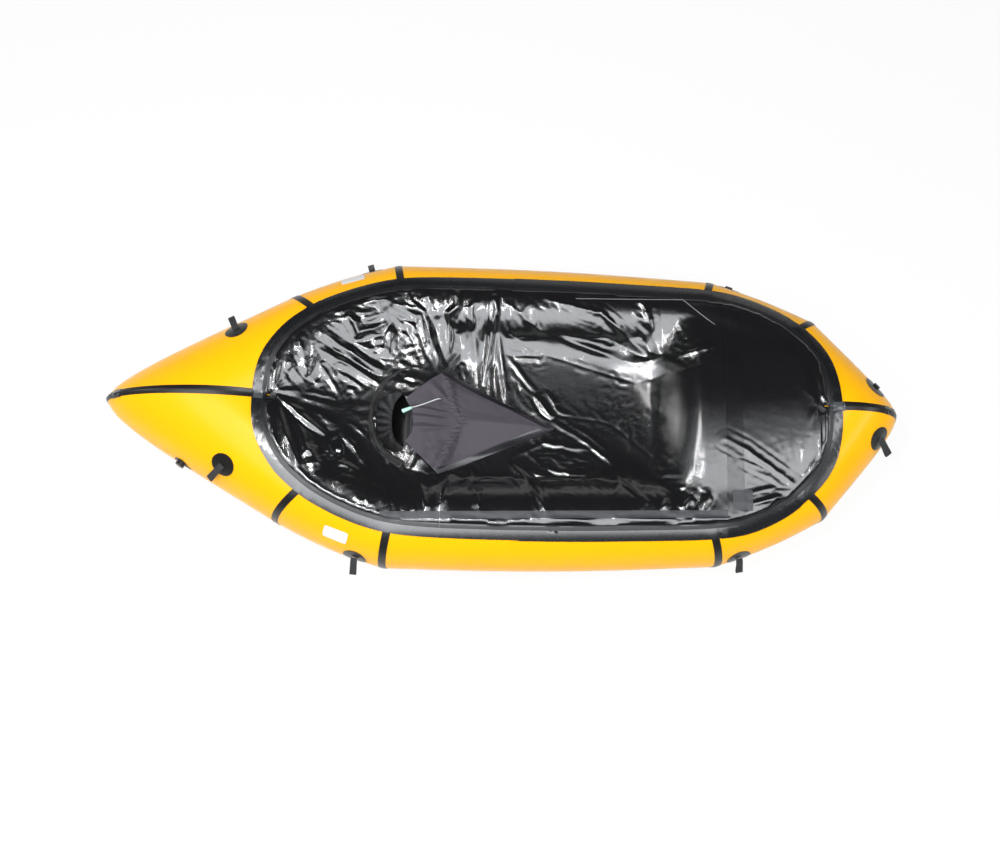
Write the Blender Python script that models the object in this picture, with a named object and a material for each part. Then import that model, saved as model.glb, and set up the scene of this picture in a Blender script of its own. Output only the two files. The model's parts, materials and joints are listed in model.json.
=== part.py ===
"""Inflatable packraft with a closed spray deck.

Metres, +Z up, +X to the bow, +Y to port. The origin is under the middle of the
boat, on the plane that the floor sheet rests on. Every air tube panel is a
fabric shell that runs from one mitre seam to the next.
"""
import math

import bmesh
import bpy
from mathutils import Vector
from mathutils.bvhtree import BVHTree

MM = 0.001

# Driving dimensions of the hull
HULL_LENGTH = 2412 * MM
HULL_BEAM = 974 * MM
TUBE_DIAMETER = 282 * MM
BOW_RISE = 75 * MM
STERN_RISE = 20 * MM
TUBE_WALL = 1.0 * MM
FLOOR_THICKNESS = 1.0 * MM
FLOOR_EDGE_INSET = 8 * MM
SEAM_GAP = 0.3 * MM
LAY_GAP = 0.5 * MM

# Trim that lies on the tubes
TAPE_WIDTH = 28 * MM
TAPE_THICKNESS = 0.6 * MM
TAPE_GAP = 6 * MM
STERN_FULLNESS = 20 * MM
QUARTER_FULLNESS = 8 * MM
SIDE_FULLNESS = 9 * MM
BOW_FULLNESS = 10 * MM
BAND_WIDTH = 42 * MM
BAND_THICKNESS = 1.0 * MM
BAND_GAP = 2.8 * MM
LABEL_LENGTH = 75 * MM
LABEL_HEIGHT = 42 * MM
LABEL_THICKNESS = 0.6 * MM

# Tie-down points
PATCH_RADIUS = 37 * MM
PATCH_THICKNESS = 1.0 * MM
PATCH_GAP = 1.6 * MM
LOOP_LENGTH = 48 * MM
LOOP_WIDTH = 20 * MM
LOOP_ROOT_RADIUS = 1.7 * MM
LOOP_EYE_RADIUS = 4.0 * MM
LOOP_WEBBING = 1.5 * MM
LOOP_SEAM_LENGTH = 14 * MM
LOOP_GAP = 0.4 * MM

# Inflation valve
VALVE_FLANGE_RADIUS = 24 * MM
VALVE_BODY_RADIUS = 13 * MM
VALVE_BODY_HEIGHT = 9 * MM
VALVE_BORE_RADIUS = 8 * MM
VALVE_CAP_RADIUS = 14 * MM
VALVE_CAP_HEIGHT = 6 * MM
VALVE_PLUG_LENGTH = 5 * MM
VALVE_CLEARANCE = 0.4 * MM
TETHER_WIDTH = 3 * MM
TETHER_THICKNESS = 1.2 * MM
TETHER_TAIL = 20 * MM

# Spray deck
DECK_THICKNESS = 0.8 * MM
DECK_SAG = 48 * MM
DECK_FOLD_HEIGHT = 9 * MM
DECK_FOLD_SPREAD = 16 * MM
DECK_RUN = 260 * MM
LAY_REACH = 14 * MM
TRIM_LIFT = 1.96 * MM
FLAP_LENGTH = 486 * MM
STRIP_WIDTH = 57 * MM
CLOSURE_WIDTH = 24 * MM
HEM_WIDTH = 22 * MM
STRIP_PATCH_LENGTH = 60 * MM
STRIP_PATCH_THICKNESS = 1.2 * MM
STRIP_PATCH_LIFT = 2.15 * MM

# Waist tunnel with its cord
TUNNEL_THICKNESS = 0.8 * MM
TUNNEL_LIFT = 3.5 * MM
TUNNEL_CROWN = 16 * MM
TUNNEL_SEAM_WIDTH = 18 * MM
TUNNEL_BACK_WIDTH = 70 * MM
TUNNEL_BACK_DROP = 22 * MM
TUNNEL_EDGE_GAP = 0.8 * MM
CORD_DIAMETER = 3.0 * MM
TOGGLE_LENGTH = 30 * MM
TOGGLE_RADIUS = 6.5 * MM
TOGGLE_TIP_RADIUS = 4.5 * MM

# Seat and backrest
SEAT_LENGTH = 330 * MM
SEAT_WIDTH = 330 * MM
SEAT_HEIGHT = 70 * MM
SEAT_VALVE_RADIUS = 9 * MM
SEAT_VALVE_HEIGHT = 10 * MM
SEAT_WAIST_share = 0.05
BACKREST_WIDTH = 250 * MM
BACKREST_HEIGHT = 130 * MM
BACKREST_THICKNESS = 45 * MM

# Shares of the hull's half length, half track, tube radius and end rise for each
# mitre seam, stern to bow, and the seam's turn from athwartships in degrees.
SEAM_shares = (
    ("stern", -0.743, 0.0, 1.170, 1.00, -90.0),
    ("stern_quarter", -0.4527, 0.746, 1.092, 0.0, -50.0),
    ("aft_side", -0.2521, 1.0, 1.0, 0.0, -13.0),
    ("forward_side", 0.510, 0.931, 0.993, 0.0, 21.0),
    ("bow_quarter", 0.7206, 0.665, 0.986, 0.40, 55.0),
    ("bow", 0.8574, 0.0, 0.986, 1.00, 90.0),
)
PANEL_NAMES = ("tube_stern", "tube_stern_quarter", "tube_side", "tube_bow_quarter", "tube_bow")
PANEL_FULLNESS = (STERN_FULLNESS, QUARTER_FULLNESS, SIDE_FULLNESS, QUARTER_FULLNESS, BOW_FULLNESS)
FULL_AT_share = 0.5
FULL_FROM_share = 0.020

# Outer edge of the deck band, port half, as shares of half length and half beam
BAND_OUTLINE_shares = (
    (-0.6045, 0.0), (-0.5995, 0.154), (-0.5846, 0.287), (-0.5547, 0.417), (-0.5249, 0.505),
    (-0.4652, 0.622), (-0.4046, 0.702), (-0.3449, 0.762), (-0.2869, 0.803), (-0.2264, 0.825),
    (-0.1368, 0.836), (0.0133, 0.838), (0.1924, 0.832), (0.3184, 0.821), (0.4013, 0.813),
    (0.4900, 0.803), (0.5506, 0.789), (0.6103, 0.758), (0.6692, 0.698), (0.7289, 0.604),
    (0.7886, 0.460), (0.8184, 0.329), (0.8308, 0.175), (0.8325, 0.0),
)

# Waist opening in the deck, as shares of half length and half beam
OPENING_TIP_share = (0.142, -0.105)
OPENING_shares = (
    (-0.144, 0.261), (-0.215, 0.263), (-0.275, 0.190), (-0.315, 0.070), (-0.325, -0.092),
    (-0.312, -0.260), (-0.265, -0.375), (-0.205, -0.435), (-0.154, -0.423),
)
MOUTH_shares = ((-0.242, 0.150), (-0.220, 0.020), (-0.222, -0.170), (-0.215, -0.310))
FLAP_START_share = 0.166
DECK_FOLD_shares = (
    (-0.13, 0.30, -0.16, 0.66), (-0.06, 0.24, -0.08, 0.68), (0.00, 0.19, 0.02, 0.66),
    (0.12, 0.55, 0.40, 0.30), (0.04, -0.26, 0.10, -0.60), (0.14, -0.16, 0.22, -0.58),
    (-0.20, 0.32, -0.42, 0.46), (-0.30, 0.22, -0.48, 0.22), (-0.34, -0.05, -0.50, -0.12),
    (-0.31, -0.30, -0.44, -0.46), (-0.22, -0.46, -0.24, -0.66), (0.42, -0.30, 0.52, -0.58),
    (0.66, 0.05, 0.78, -0.30), (0.66, -0.25, 0.78, -0.36),
)

# Tie-downs: name, panel, share along the panel, degrees round the tube from its crest
TIE_DOWN_shares = (
    ("stern", 0, 0.632, 42.0),
    ("aft_quarter", 1, 0.755, 78.0),
    ("bow_quarter", 3, 0.19, 78.0),
    ("bow", 4, 0.75, 55.0),
)
VALVE_share = (0, 0.48, 80.0)
LABEL_share = (1, 0.55, 48.6)
SEAT_AFT_share = -0.300
CORD_ROUTE_shares = ((-0.1500, 0.045), (-0.1700, 0.018), (-0.1950, -0.010), (-0.2160, -0.035))

ROUND_STEPS = 26
OPENING_STEPS = 48
PANEL_STEPS = (4, 2, 3, 2, 2)
CIRCLE = 2 * math.pi
QUARTER_TURN = math.pi / 2
QUARTER = 90.0
COLUMN_shares = (0, 0.035, 0.07, 0.11, 0.155, 0.22, 0.31, 0.40)
PORT, STARBOARD = 1, -1
SIDES = (("port", PORT), ("starboard", STARBOARD))

HALF_LENGTH = HULL_LENGTH / 2
HALF_BEAM = HULL_BEAM / 2
TUBE_RADIUS = TUBE_DIAMETER / 2
HALF_TRACK = HALF_BEAM - TUBE_RADIUS
TUBE_BASE = FLOOR_THICKNESS + LAY_GAP
UP = Vector((0, 0, 1))


def clear_scene():
    """Remove every object that the file starts with."""
    for obj in list(bpy.data.objects):
        bpy.data.objects.remove(obj, do_unlink=True)


def material(name, colour, roughness, metallic=0.0):
    """Return a Principled material."""
    mat = bpy.data.materials.get(name) or bpy.data.materials.new(name)
    mat.use_nodes = True
    shader = mat.node_tree.nodes["Principled BSDF"]
    shader.inputs["Base Color"].default_value = (*colour, 1.0)
    shader.inputs["Roughness"].default_value = roughness
    shader.inputs["Metallic"].default_value = metallic
    return mat


COLOURS = {
    "tube": ((0.95, 0.55, 0.03), 0.35),
    "tape": ((0.02, 0.02, 0.02), 0.45),
    "band": ((0.09, 0.10, 0.11), 0.45),
    "deck": ((0.012, 0.012, 0.013), 0.18),
    "webbing": ((0.02, 0.02, 0.02), 0.7),
    "nylon": ((0.05, 0.045, 0.055), 0.75),
    "floor": ((0.02, 0.02, 0.02), 0.5),
    "label": ((0.85, 0.85, 0.83), 0.5),
    "cord": ((0.8, 0.82, 0.8), 0.6),
    "toggle": ((0.55, 0.85, 0.75), 0.4),
    "plastic": ((0.02, 0.02, 0.02), 0.35),
    "seat": ((0.03, 0.03, 0.035), 0.5),
}


def collection():
    """Return the collection that holds the boat's parts."""
    made = bpy.data.collections.get("packraft")
    if made is None:
        made = bpy.data.collections.new("packraft")
        bpy.context.scene.collection.children.link(made)
    return made


def cutter_collection():
    """Return the collection that holds the cutters."""
    made = bpy.data.collections.get("cutters")
    if made is None:
        made = bpy.data.collections.new("cutters")
        bpy.context.scene.collection.children.link(made)
    return made


def add_mesh(name, points, faces, colour, origin=None, parent=None):
    """Make one named solid from world points, with its own origin and material."""
    origin = Vector(origin) if origin is not None else Vector()
    mesh = bpy.data.meshes.new(name)
    mesh.from_pydata([Vector(p) - origin for p in points], [], faces)
    shell = bmesh.new()
    shell.from_mesh(mesh)
    bmesh.ops.recalc_face_normals(shell, faces=shell.faces)
    shell.to_mesh(mesh)
    shell.free()
    mesh.shade_smooth()
    mesh.set_sharp_from_angle(angle=math.radians(40))
    obj = bpy.data.objects.new(name, mesh)
    rgb, rough = COLOURS[colour]
    mesh.materials.append(material(f"{name}_finish", rgb, rough))
    obj.location = origin
    collection().objects.link(obj)
    if parent is not None:
        obj.parent = parent
        obj.location = origin - parent.location
    return obj


def axis_empty(name, place):
    """Make an empty that stands on a joint's axis."""
    empty = bpy.data.objects.new(name, None)
    empty.location = place
    collection().objects.link(empty)
    return empty


def grid_faces(rows, columns, closed, flip, first=0):
    """Triangles over a grid of points, each cell cut along the same diagonal."""
    faces = []
    last = columns if closed else columns - 1
    for row in range(rows - 1):
        for column in range(last):
            after = (column + 1) % columns
            a = first + row * columns + column
            b = first + row * columns + after
            c = first + (row + 1) * columns + after
            d = first + (row + 1) * columns + column
            cell = [(a, b, c), (a, c, d)]
            faces += [tri[::-1] for tri in cell] if flip else cell
    return faces


def two_skins(name, upper, lower, colour, closed=False, **place):
    """Close two matching grids of points into one thin solid.

    upper and lower are lists of rows. The upper grid's cells run anticlockwise
    as seen from outside. closed joins each row's last point to its first, as
    round a tube or an opening.
    """
    rows, columns = len(upper), len(upper[0])
    points = [p for row in upper for p in row] + [p for row in lower for p in row]
    under = rows * columns
    faces = grid_faces(rows, columns, closed, False)
    faces += grid_faces(rows, columns, closed, True, under)
    last = columns if closed else columns - 1
    for column in range(last):
        after = (column + 1) % columns
        a, b = column, after
        faces += [(b, a, under + a), (b, under + a, under + b)]
        a = (rows - 1) * columns + column
        b = (rows - 1) * columns + after
        faces += [(a, b, under + b), (a, under + b, under + a)]
    if not closed:
        for row in range(rows - 1):
            a, b = row * columns, (row + 1) * columns
            faces += [(a, b, under + b), (a, under + b, under + a)]
            a, b = a + columns - 1, b + columns - 1
            faces += [(b, a, under + a), (b, under + a, under + b)]
    return add_mesh(name, points, faces, colour, **place)


class Seam:
    """One mitre seam: an upright ellipse whose long way lies athwart the tube."""

    def __init__(self, name, along, across, girth, rise, turn):
        self.name = name
        lift = (STERN_RISE if along < 0 else BOW_RISE) * rise
        self.high = TUBE_RADIUS * girth
        at_end = across == 0
        self.wide = HALF_LENGTH * (1 - abs(along)) if at_end else self.high
        self.centre = Vector((HALF_LENGTH * along, HALF_TRACK * across, TUBE_BASE + lift + self.high))
        angle = math.radians(turn)
        self.out = Vector((math.sin(angle), math.cos(angle), 0))

    def point(self, degrees, inset=0.0):
        """Return the seam's point at an angle from its crest, outboard positive."""
        angle = math.radians(degrees)
        across = self.out * math.sin(angle) * (self.wide - inset)
        return self.centre + across + UP * math.cos(angle) * (self.high - inset)


SEAMS = [Seam(*row) for row in SEAM_shares]


def mirror(point, side):
    """Return a port point on the given side of the boat."""
    return Vector((point.x, point.y * side, point.z))


def fullness(panel, share, degrees):
    """Return how far a panel's outboard side swells past the straight run between its seams."""
    run = SEAMS[panel + 1].point(QUARTER) - SEAMS[panel].point(QUARTER)
    outboard = Vector((-run.y, run.x, 0)).normalized()
    if panel == 0:
        along_share = max((share - FULL_FROM_share) / (1 - FULL_FROM_share), 0.0) ** FULL_AT_share
    elif panel == len(PANEL_NAMES) - 1:
        along_share = max((1 - share - FULL_FROM_share) / (1 - FULL_FROM_share), 0.0) ** FULL_AT_share
    else:
        along_share = share
    round_share = max(math.sin(math.radians(degrees)), 0.0) ** 2
    return outboard * PANEL_FULLNESS[panel] * round_share * math.sin(math.pi * along_share)


def tube_point(panel, share, degrees, side=PORT, inset=0.0):
    """Return a point on a panel, part way along it and round it."""
    aft = SEAMS[panel].point(degrees, inset)
    fore = SEAMS[panel + 1].point(degrees, inset)
    return mirror(aft.lerp(fore, share) + fullness(panel, share, degrees), side)


def tube_normal(panel, share, degrees, side=PORT):
    """Return the outward normal there, from two short steps on the surface."""
    step = 0.5
    share_step = 0.01
    round_way = tube_point(panel, share, degrees + step) - tube_point(panel, share, degrees - step)
    long_way = tube_point(panel, share + share_step, degrees) - tube_point(panel, share - share_step, degrees)
    return mirror(long_way.cross(round_way).normalized(), side)


def panel_length(panel):
    """Return the length of a panel's centreline."""
    return (SEAMS[panel + 1].centre - SEAMS[panel].centre).length


def panel_shares(panel):
    """Return the stations along a panel, with one at each seam tape's edge."""
    edge = TAPE_WIDTH / 2 / panel_length(panel)
    spans = PANEL_STEPS[panel]
    inner = [edge + (1 - 2 * edge) * i / spans for i in range(spans + 1)]
    return [0.0] + inner + [1.0]


def round_angles():
    """Return the angles of the points round a tube."""
    return [360.0 * i / ROUND_STEPS for i in range(ROUND_STEPS)]


def make_tubes():
    """Make the ten air tube panels and return them."""
    made = []
    for panel, name in enumerate(PANEL_NAMES):
        stations = panel_shares(panel)
        trim = SEAM_GAP / 2 / panel_length(panel)
        at_stern, at_bow = panel == 0, panel == len(PANEL_NAMES) - 1
        slope = 1 / max(SEAMS[panel + 1 if at_stern else panel].centre.y, SEAM_GAP)
        first = SEAM_GAP / 2 * slope if at_stern else trim
        last = SEAM_GAP / 2 * slope if at_bow else trim
        stations = [first] + stations[1:-1] + [1.0 - last]
        for side_name, side in SIDES:
            outer = [[tube_point(panel, s, a, side) for a in round_angles()] for s in stations]
            inner = [[tube_point(panel, s, a, side, TUBE_WALL) for a in round_angles()] for s in stations]
            if side == PORT:
                outer = [row[::-1] for row in outer]
                inner = [row[::-1] for row in inner]
            made.append(two_skins(f"{name}_{side_name}", outer, inner, "tube", closed=True))
    return made


def surface_of(objects):
    """Return a search tree over the objects' faces, in world space."""
    points, faces = [], []
    for obj in objects:
        first = len(points)
        points += [obj.matrix_basis @ v.co for v in obj.data.vertices]
        faces += [[first + i for i in p.vertices] for p in obj.data.polygons]
    return BVHTree.FromPolygons(points, faces)


def height_over(tree, x, y):
    """Return the height of the hull's top there, or None inside the tubes."""
    beside = SEAM_GAP * 2
    y = beside if abs(y) < beside else y
    top = HULL_LENGTH
    hit = tree.ray_cast(Vector((x, y, top)), -UP)[0]
    if hit is None or hit.z < TUBE_RADIUS * 0.9:
        return None
    return hit.z


def tube_height(tree, x, y):
    """Return the hull's height there, or that of the nearest stretch of tube abeam."""
    found = height_over(tree, x, y)
    away = 0.0
    while found is None:
        away += SEAM_GAP * 4
        outboard, inboard = height_over(tree, x, y + away), height_over(tree, x, y - away)
        found = outboard if outboard is not None else inboard
    return found


def band_angle(panel, share, table):
    """Return the angle from the crest where a tube passes under the deck band."""
    best, found = None, 0.0
    for tenth in range(-600, 900, 2):
        degrees = tenth / 10
        point = tube_point(panel, share, degrees)
        reach = half_width_at(table, point.x)
        off = abs(point.y - reach) if reach is not None else HALF_BEAM
        if best is None or off < best:
            best, found = off, degrees
    return found


def smooth_outline(points, steps):
    """Return a closed smooth line through the points, steps to each stretch."""
    count = len(points)
    out = []
    for i in range(count):
        a, b, c, d = (Vector(points[(i + k - 1) % count]) for k in range(4))
        for step in range(steps):
            t = step / steps
            out.append(0.5 * ((2 * b) + (c - a) * t + (2 * a - 5 * b + 4 * c - d) * t * t
                              + (3 * b - a - 3 * c + d) * t ** 3))
    return out


def even_outline(line, count):
    """Return count points spread evenly along a closed line."""
    spans = [(line[(i + 1) % len(line)] - p).length for i, p in enumerate(line)]
    whole = sum(spans)
    out, index, gone = [], 0, 0.0
    for k in range(count):
        want = whole * k / count
        while gone + spans[index] < want:
            gone += spans[index]
            index += 1
        a, b = line[index], line[(index + 1) % len(line)]
        out.append(a.lerp(b, (want - gone) / spans[index]))
    return out


def inset_outline(line, width):
    """Return the line moved inwards by a width, square to its own run."""
    count = len(line)
    out = []
    for i, point in enumerate(line):
        run = line[(i + 1) % count] - line[i - 1]
        out.append(point + Vector((-run.y, run.x)).normalized() * width)
    return out


def band_outline(count):
    """Return the deck band's outer edge in plan, anticlockwise from the stern."""
    port = [Vector((HALF_LENGTH * a, HALF_BEAM * b)) for a, b in BAND_OUTLINE_shares]
    starboard = [Vector((p.x, -p.y)) for p in port]
    whole = starboard + port[-2:0:-1]
    return even_outline(smooth_outline(whole, 8), count)


def half_width_at(line, x):
    """Return how far to port a closed plan line reaches at a station, or None."""
    best = None
    count = len(line)
    for i, p in enumerate(line):
        q = line[(i + 1) % count]
        if (p.x - x) * (q.x - x) <= 0 and p.x != q.x:
            y = p.y + (q.y - p.y) * (x - p.x) / (q.x - p.x)
            if y >= 0 and (best is None or y > best):
                best = y
    return best


class Deck:
    """Plan outlines and heights of the sheets that close the boat's top."""

    def __init__(self, tree):
        self.tree = tree
        self.outer = band_outline(120)
        self.inner = inset_outline(self.outer, BAND_WIDTH)
        self.edge = inset_outline(self.outer, BAND_WIDTH + LAY_GAP)
        self.lifts = {}

    def reach(self, x):
        """Return the deck sheet's half width at a station."""
        return half_width_at(self.edge, x) or 0.0

    def crest(self, x):
        """Return the highest point of the hull across a station."""
        key = round(x / MM)
        if key not in self.lifts:
            reach = max(self.reach(x), LAY_GAP)
            tries = [height_over(self.tree, x, reach * k / 24) for k in range(6, 25)]
            found = [z for z in tries if z is not None]
            self.lifts[key] = max(found) if found else TUBE_DIAMETER
        return self.lifts[key]

    def fold(self, x, y):
        """Return how far the main folds stand up at a point."""
        rise = 0.0
        spot = Vector((x, y))
        for ax, ay, bx, by in DECK_FOLD_shares:
            a = Vector((ax * HALF_LENGTH, ay * HALF_BEAM))
            b = Vector((bx * HALF_LENGTH, by * HALF_BEAM))
            run = b - a
            share = min(max((spot - a).dot(run) / run.length_squared, 0.0), 1.0)
            off = (spot - a - run * share).length
            fade = math.sin(math.pi * share) ** 1.5
            rise = max(rise, DECK_FOLD_HEIGHT * fade * math.exp(-(off / DECK_FOLD_SPREAD) ** 2))
        return rise

    def height(self, x, y):
        """Return the height of the deck's underside at a point."""
        reach = max(self.reach(x), LAY_GAP)
        across = min(abs(y) / reach, 1.0)
        ends = min((x - self.edge_aft()) / DECK_RUN, (self.edge_fore() - x) / DECK_RUN, 1.0)
        slack = DECK_SAG * (1 - across ** 2) * max(ends, 0.0) ** 0.5
        free = self.crest(x) + BAND_GAP - slack + self.fold(x, y) * (1 - across ** 4)
        tries = [height_over(self.tree, x + step, y) for step in (-LAY_REACH, 0.0, LAY_REACH)]
        laid = [z + BAND_GAP for z in tries if z is not None]
        return max([free] + laid)

    def edge_aft(self):
        """Return the deck sheet's aft end."""
        return min(p.x for p in self.edge)

    def edge_fore(self):
        """Return the deck sheet's forward end."""
        return max(p.x for p in self.edge)

    def skins(self, rows, thickness=DECK_THICKNESS, lift=0.0):
        """Return the upper and lower points over rows of plan points."""
        lower = [[Vector((p.x, p.y, self.height(p.x, p.y) + lift)) for p in row] for row in rows]
        upper = [[p + UP * thickness for p in row] for row in lower]
        return upper, lower


def make_band(deck):
    """Make the flat band that joins the deck to the tubes."""
    steps = 2
    lines = [inset_outline(deck.outer, BAND_WIDTH * k / steps) for k in range(steps + 1)]
    lower = [[Vector((p.x, p.y, tube_height(deck.tree, p.x, p.y) + BAND_GAP)) for p in line] for line in lines]
    upper = [[p + UP * BAND_THICKNESS for p in row] for row in lower]
    two_skins("deck_band", upper, lower, "band", closed=True)


def tape_rows(panel_pair, side, first, last):
    """Return the grid of a seam tape: rows round the tube, three points across."""
    aft, fore = panel_pair
    angles = [first] + [a for a in round_angles() if first < a < last] + [last]
    rows = []
    for degrees in angles:
        centre = tube_point(fore, 0.0, degrees, side)
        half = TAPE_WIDTH / 2
        before = tube_point(aft, 1 - half / panel_length(aft), degrees, side)
        after = tube_point(fore, half / panel_length(fore), degrees, side)
        seam = SEAMS[fore]
        angle = math.radians(degrees)
        out = mirror(seam.out * math.sin(angle) + UP * math.cos(angle), side)
        rows.append(([before, centre, after], out))
    return rows


def skin_pair(rows, side, near, thick):
    """Return a tape's outer and inner points, wound to face outwards."""
    upper = [[p + out * (near + thick) for p in line] for line, out in rows]
    lower = [[p + out * near for p in line] for line, out in rows]
    if side == PORT:
        upper = [row[::-1] for row in upper]
        lower = [row[::-1] for row in lower]
    return upper, lower


def make_seam_tapes(outline):
    """Make the tapes over the mitre seams on both sides, and over the two ends."""
    last = 170.0
    for index in range(1, len(SEAMS) - 1):
        first = band_angle(index, 0.0, outline) + math.degrees(TAPE_GAP / TUBE_RADIUS)
        for side_name, side in SIDES:
            rows = tape_rows((index - 1, index), side, first, last)
            upper, lower = skin_pair(rows, side, LAY_GAP, TAPE_THICKNESS)
            two_skins(f"seam_tape_{SEAMS[index].name}_{side_name}", upper, lower, "tape")
    make_end_tape("stern", SEAMS[0], outline)
    make_end_tape("bow", SEAMS[-1], outline)


def end_side_point(seam, degrees):
    """Return the point of an end panel where the end tape's port edge runs."""
    at_stern = seam is SEAMS[0]
    inner = SEAMS[1] if at_stern else SEAMS[-2]
    share = TAPE_WIDTH / 2 / inner.point(degrees).y
    return tube_point(0, share, degrees) if at_stern else tube_point(len(PANEL_NAMES) - 1, 1 - share, degrees)


def make_end_tape(name, seam, outline):
    """Make the tape over the upright seam at one end of the boat."""
    outward = seam.out.x
    reach = max(p.x * outward for p in outline) + TAPE_GAP
    first = -QUARTER
    while end_side_point(seam, first).x * outward < reach:
        first += 0.5
    last = 172.0
    angles = [first] + [a - 360 * (a > 180) for a in round_angles()] + [last]
    angles = sorted({a for a in angles if first <= a <= last})
    upper, lower = [], []
    for degrees in angles:
        angle = math.radians(degrees)
        out = (seam.out * math.sin(angle) * seam.high + UP * math.cos(angle) * seam.wide).normalized()
        port = end_side_point(seam, degrees)
        line = [port, seam.point(degrees), mirror(port, STARBOARD)]
        lower.append([p + out * LAY_GAP for p in line])
        upper.append([p + out * (LAY_GAP + TAPE_THICKNESS) for p in line])
    two_skins(f"seam_tape_{name}", upper, lower, "tape")


def make_floor():
    """Make the floor sheet, flat amidships and turned up with the tubes' undersides."""
    stations = []
    for panel in range(len(SEAMS) - 1):
        a, b = SEAMS[panel], SEAMS[panel + 1]
        spans = 2
        for step in range(spans + (panel == len(SEAMS) - 2)):
            share = step / spans
            centre = a.centre.lerp(b.centre, share)
            base = centre.z - (a.high + (b.high - a.high) * share) - LAY_GAP
            stations.append((centre.x, centre.y, base))
    columns = 8
    upper, lower = [], []
    for x, half, top in stations:
        half = max(half - FLOOR_EDGE_INSET, FLOOR_EDGE_INSET / 8)
        row = [Vector((x, half * (1 - 2 * c / columns), top)) for c in range(columns + 1)]
        upper.append(row)
        lower.append([p - UP * FLOOR_THICKNESS for p in row])
    two_skins("floor_sheet", upper, lower, "floor")


def surface_spot(tree, spot, normal):
    """Return the hull's point below a spot, looking against the normal."""
    start = spot + normal * TUBE_RADIUS
    hit = tree.ray_cast(start, -normal)[0]
    return hit if hit is not None else spot


def laid_patch(tree, name, place, size, colour, thickness, shape="round", near=PATCH_GAP):
    """Make a thin patch that follows the tube under it and return its frame."""
    panel, share, degrees, side = place
    centre = tube_point(panel, share, degrees, side)
    normal = tube_normal(panel, share, degrees, side)
    run = SEAMS[panel + 1].centre - SEAMS[panel].centre
    run = mirror(run, side)
    along = (run - normal * run.dot(normal)).normalized()
    across = normal.cross(along)
    rings, spokes = 1, 18
    rows = []
    for ring in range(rings + 1):
        row = []
        for spoke in range(spokes):
            angle = CIRCLE * spoke / spokes
            a, b = patch_reach(angle, size, shape)
            scale = (ring + 1) / (rings + 1)
            row.append(centre + along * a * scale + across * b * scale)
        rows.append(row)
    lower = [[surface_spot(tree, p, normal) + normal * near for p in row] for row in rows]
    upper = [[p + normal * thickness for p in row] for row in lower]
    fan_patch(name, upper, lower, colour)
    return normal, along


def rest_point(place, reach, patch_name):
    """Return where a piece rests on a patch, its underside reaching both ways."""
    panel, share, degrees, side = place
    patch = surface_of([bpy.data.objects[patch_name]])
    centre = tube_point(panel, share, degrees, side)
    normal = tube_normal(panel, share, degrees, side)
    rises = []
    for spot in reach:
        hit = patch.ray_cast(centre + spot + normal * TUBE_RADIUS, -normal)[0]
        if hit is not None:
            rises.append((hit - centre).dot(normal))
    return centre + normal * max(rises)


def patch_reach(angle, size, shape):
    """Return how far a patch reaches along and across at an angle."""
    c, s = math.cos(angle), math.sin(angle)
    if shape == "round":
        return size[0] * c, size[1] * s
    power = 0.22
    a = size[0] * math.copysign(abs(c) ** power, c)
    b = size[1] * math.copysign(abs(s) ** power, s)
    return a, b


def fan_patch(name, upper, lower, colour):
    """Close a patch made of rings, with one point at its middle."""
    rows, columns = len(upper), len(upper[0])
    points = [p for row in upper for p in row] + [p for row in lower for p in row]
    under = rows * columns
    mid_up, mid_down = len(points), len(points) + 1
    points.append(sum(upper[0], Vector()) / columns)
    points.append(sum(lower[0], Vector()) / columns)
    faces = grid_faces(rows, columns, True, True)
    faces += grid_faces(rows, columns, True, False, under)
    for column in range(columns):
        after = (column + 1) % columns
        faces.append((mid_up, column, after))
        faces.append((mid_down, under + after, under + column))
        a, b = (rows - 1) * columns + column, (rows - 1) * columns + after
        faces += [(b, a, under + a), (b, under + a, under + b)]
    add_mesh(name, points, faces, colour)


def loop_outline(inner):
    """Return the side view of a webbing loop, root at zero, tip outwards."""
    eye = LOOP_LENGTH - LOOP_EYE_RADIUS - LOOP_WEBBING
    steps = 6
    if inner:
        small, big, start = LOOP_WEBBING / 4, LOOP_EYE_RADIUS, LOOP_SEAM_LENGTH
    else:
        small, big, start = LOOP_ROOT_RADIUS, LOOP_EYE_RADIUS + LOOP_WEBBING, 0.0
    lean = math.acos((small - big) / (eye - start))
    points = []
    for step in range(steps + 1):
        angle = -lean + 2 * lean * step / steps
        points.append((eye + big * math.cos(angle), big * math.sin(angle)))
    for step in range(steps + 1):
        angle = lean + (CIRCLE - 2 * lean) * step / steps
        points.append((start + small * math.cos(angle), small * math.sin(angle)))
    return points


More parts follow.
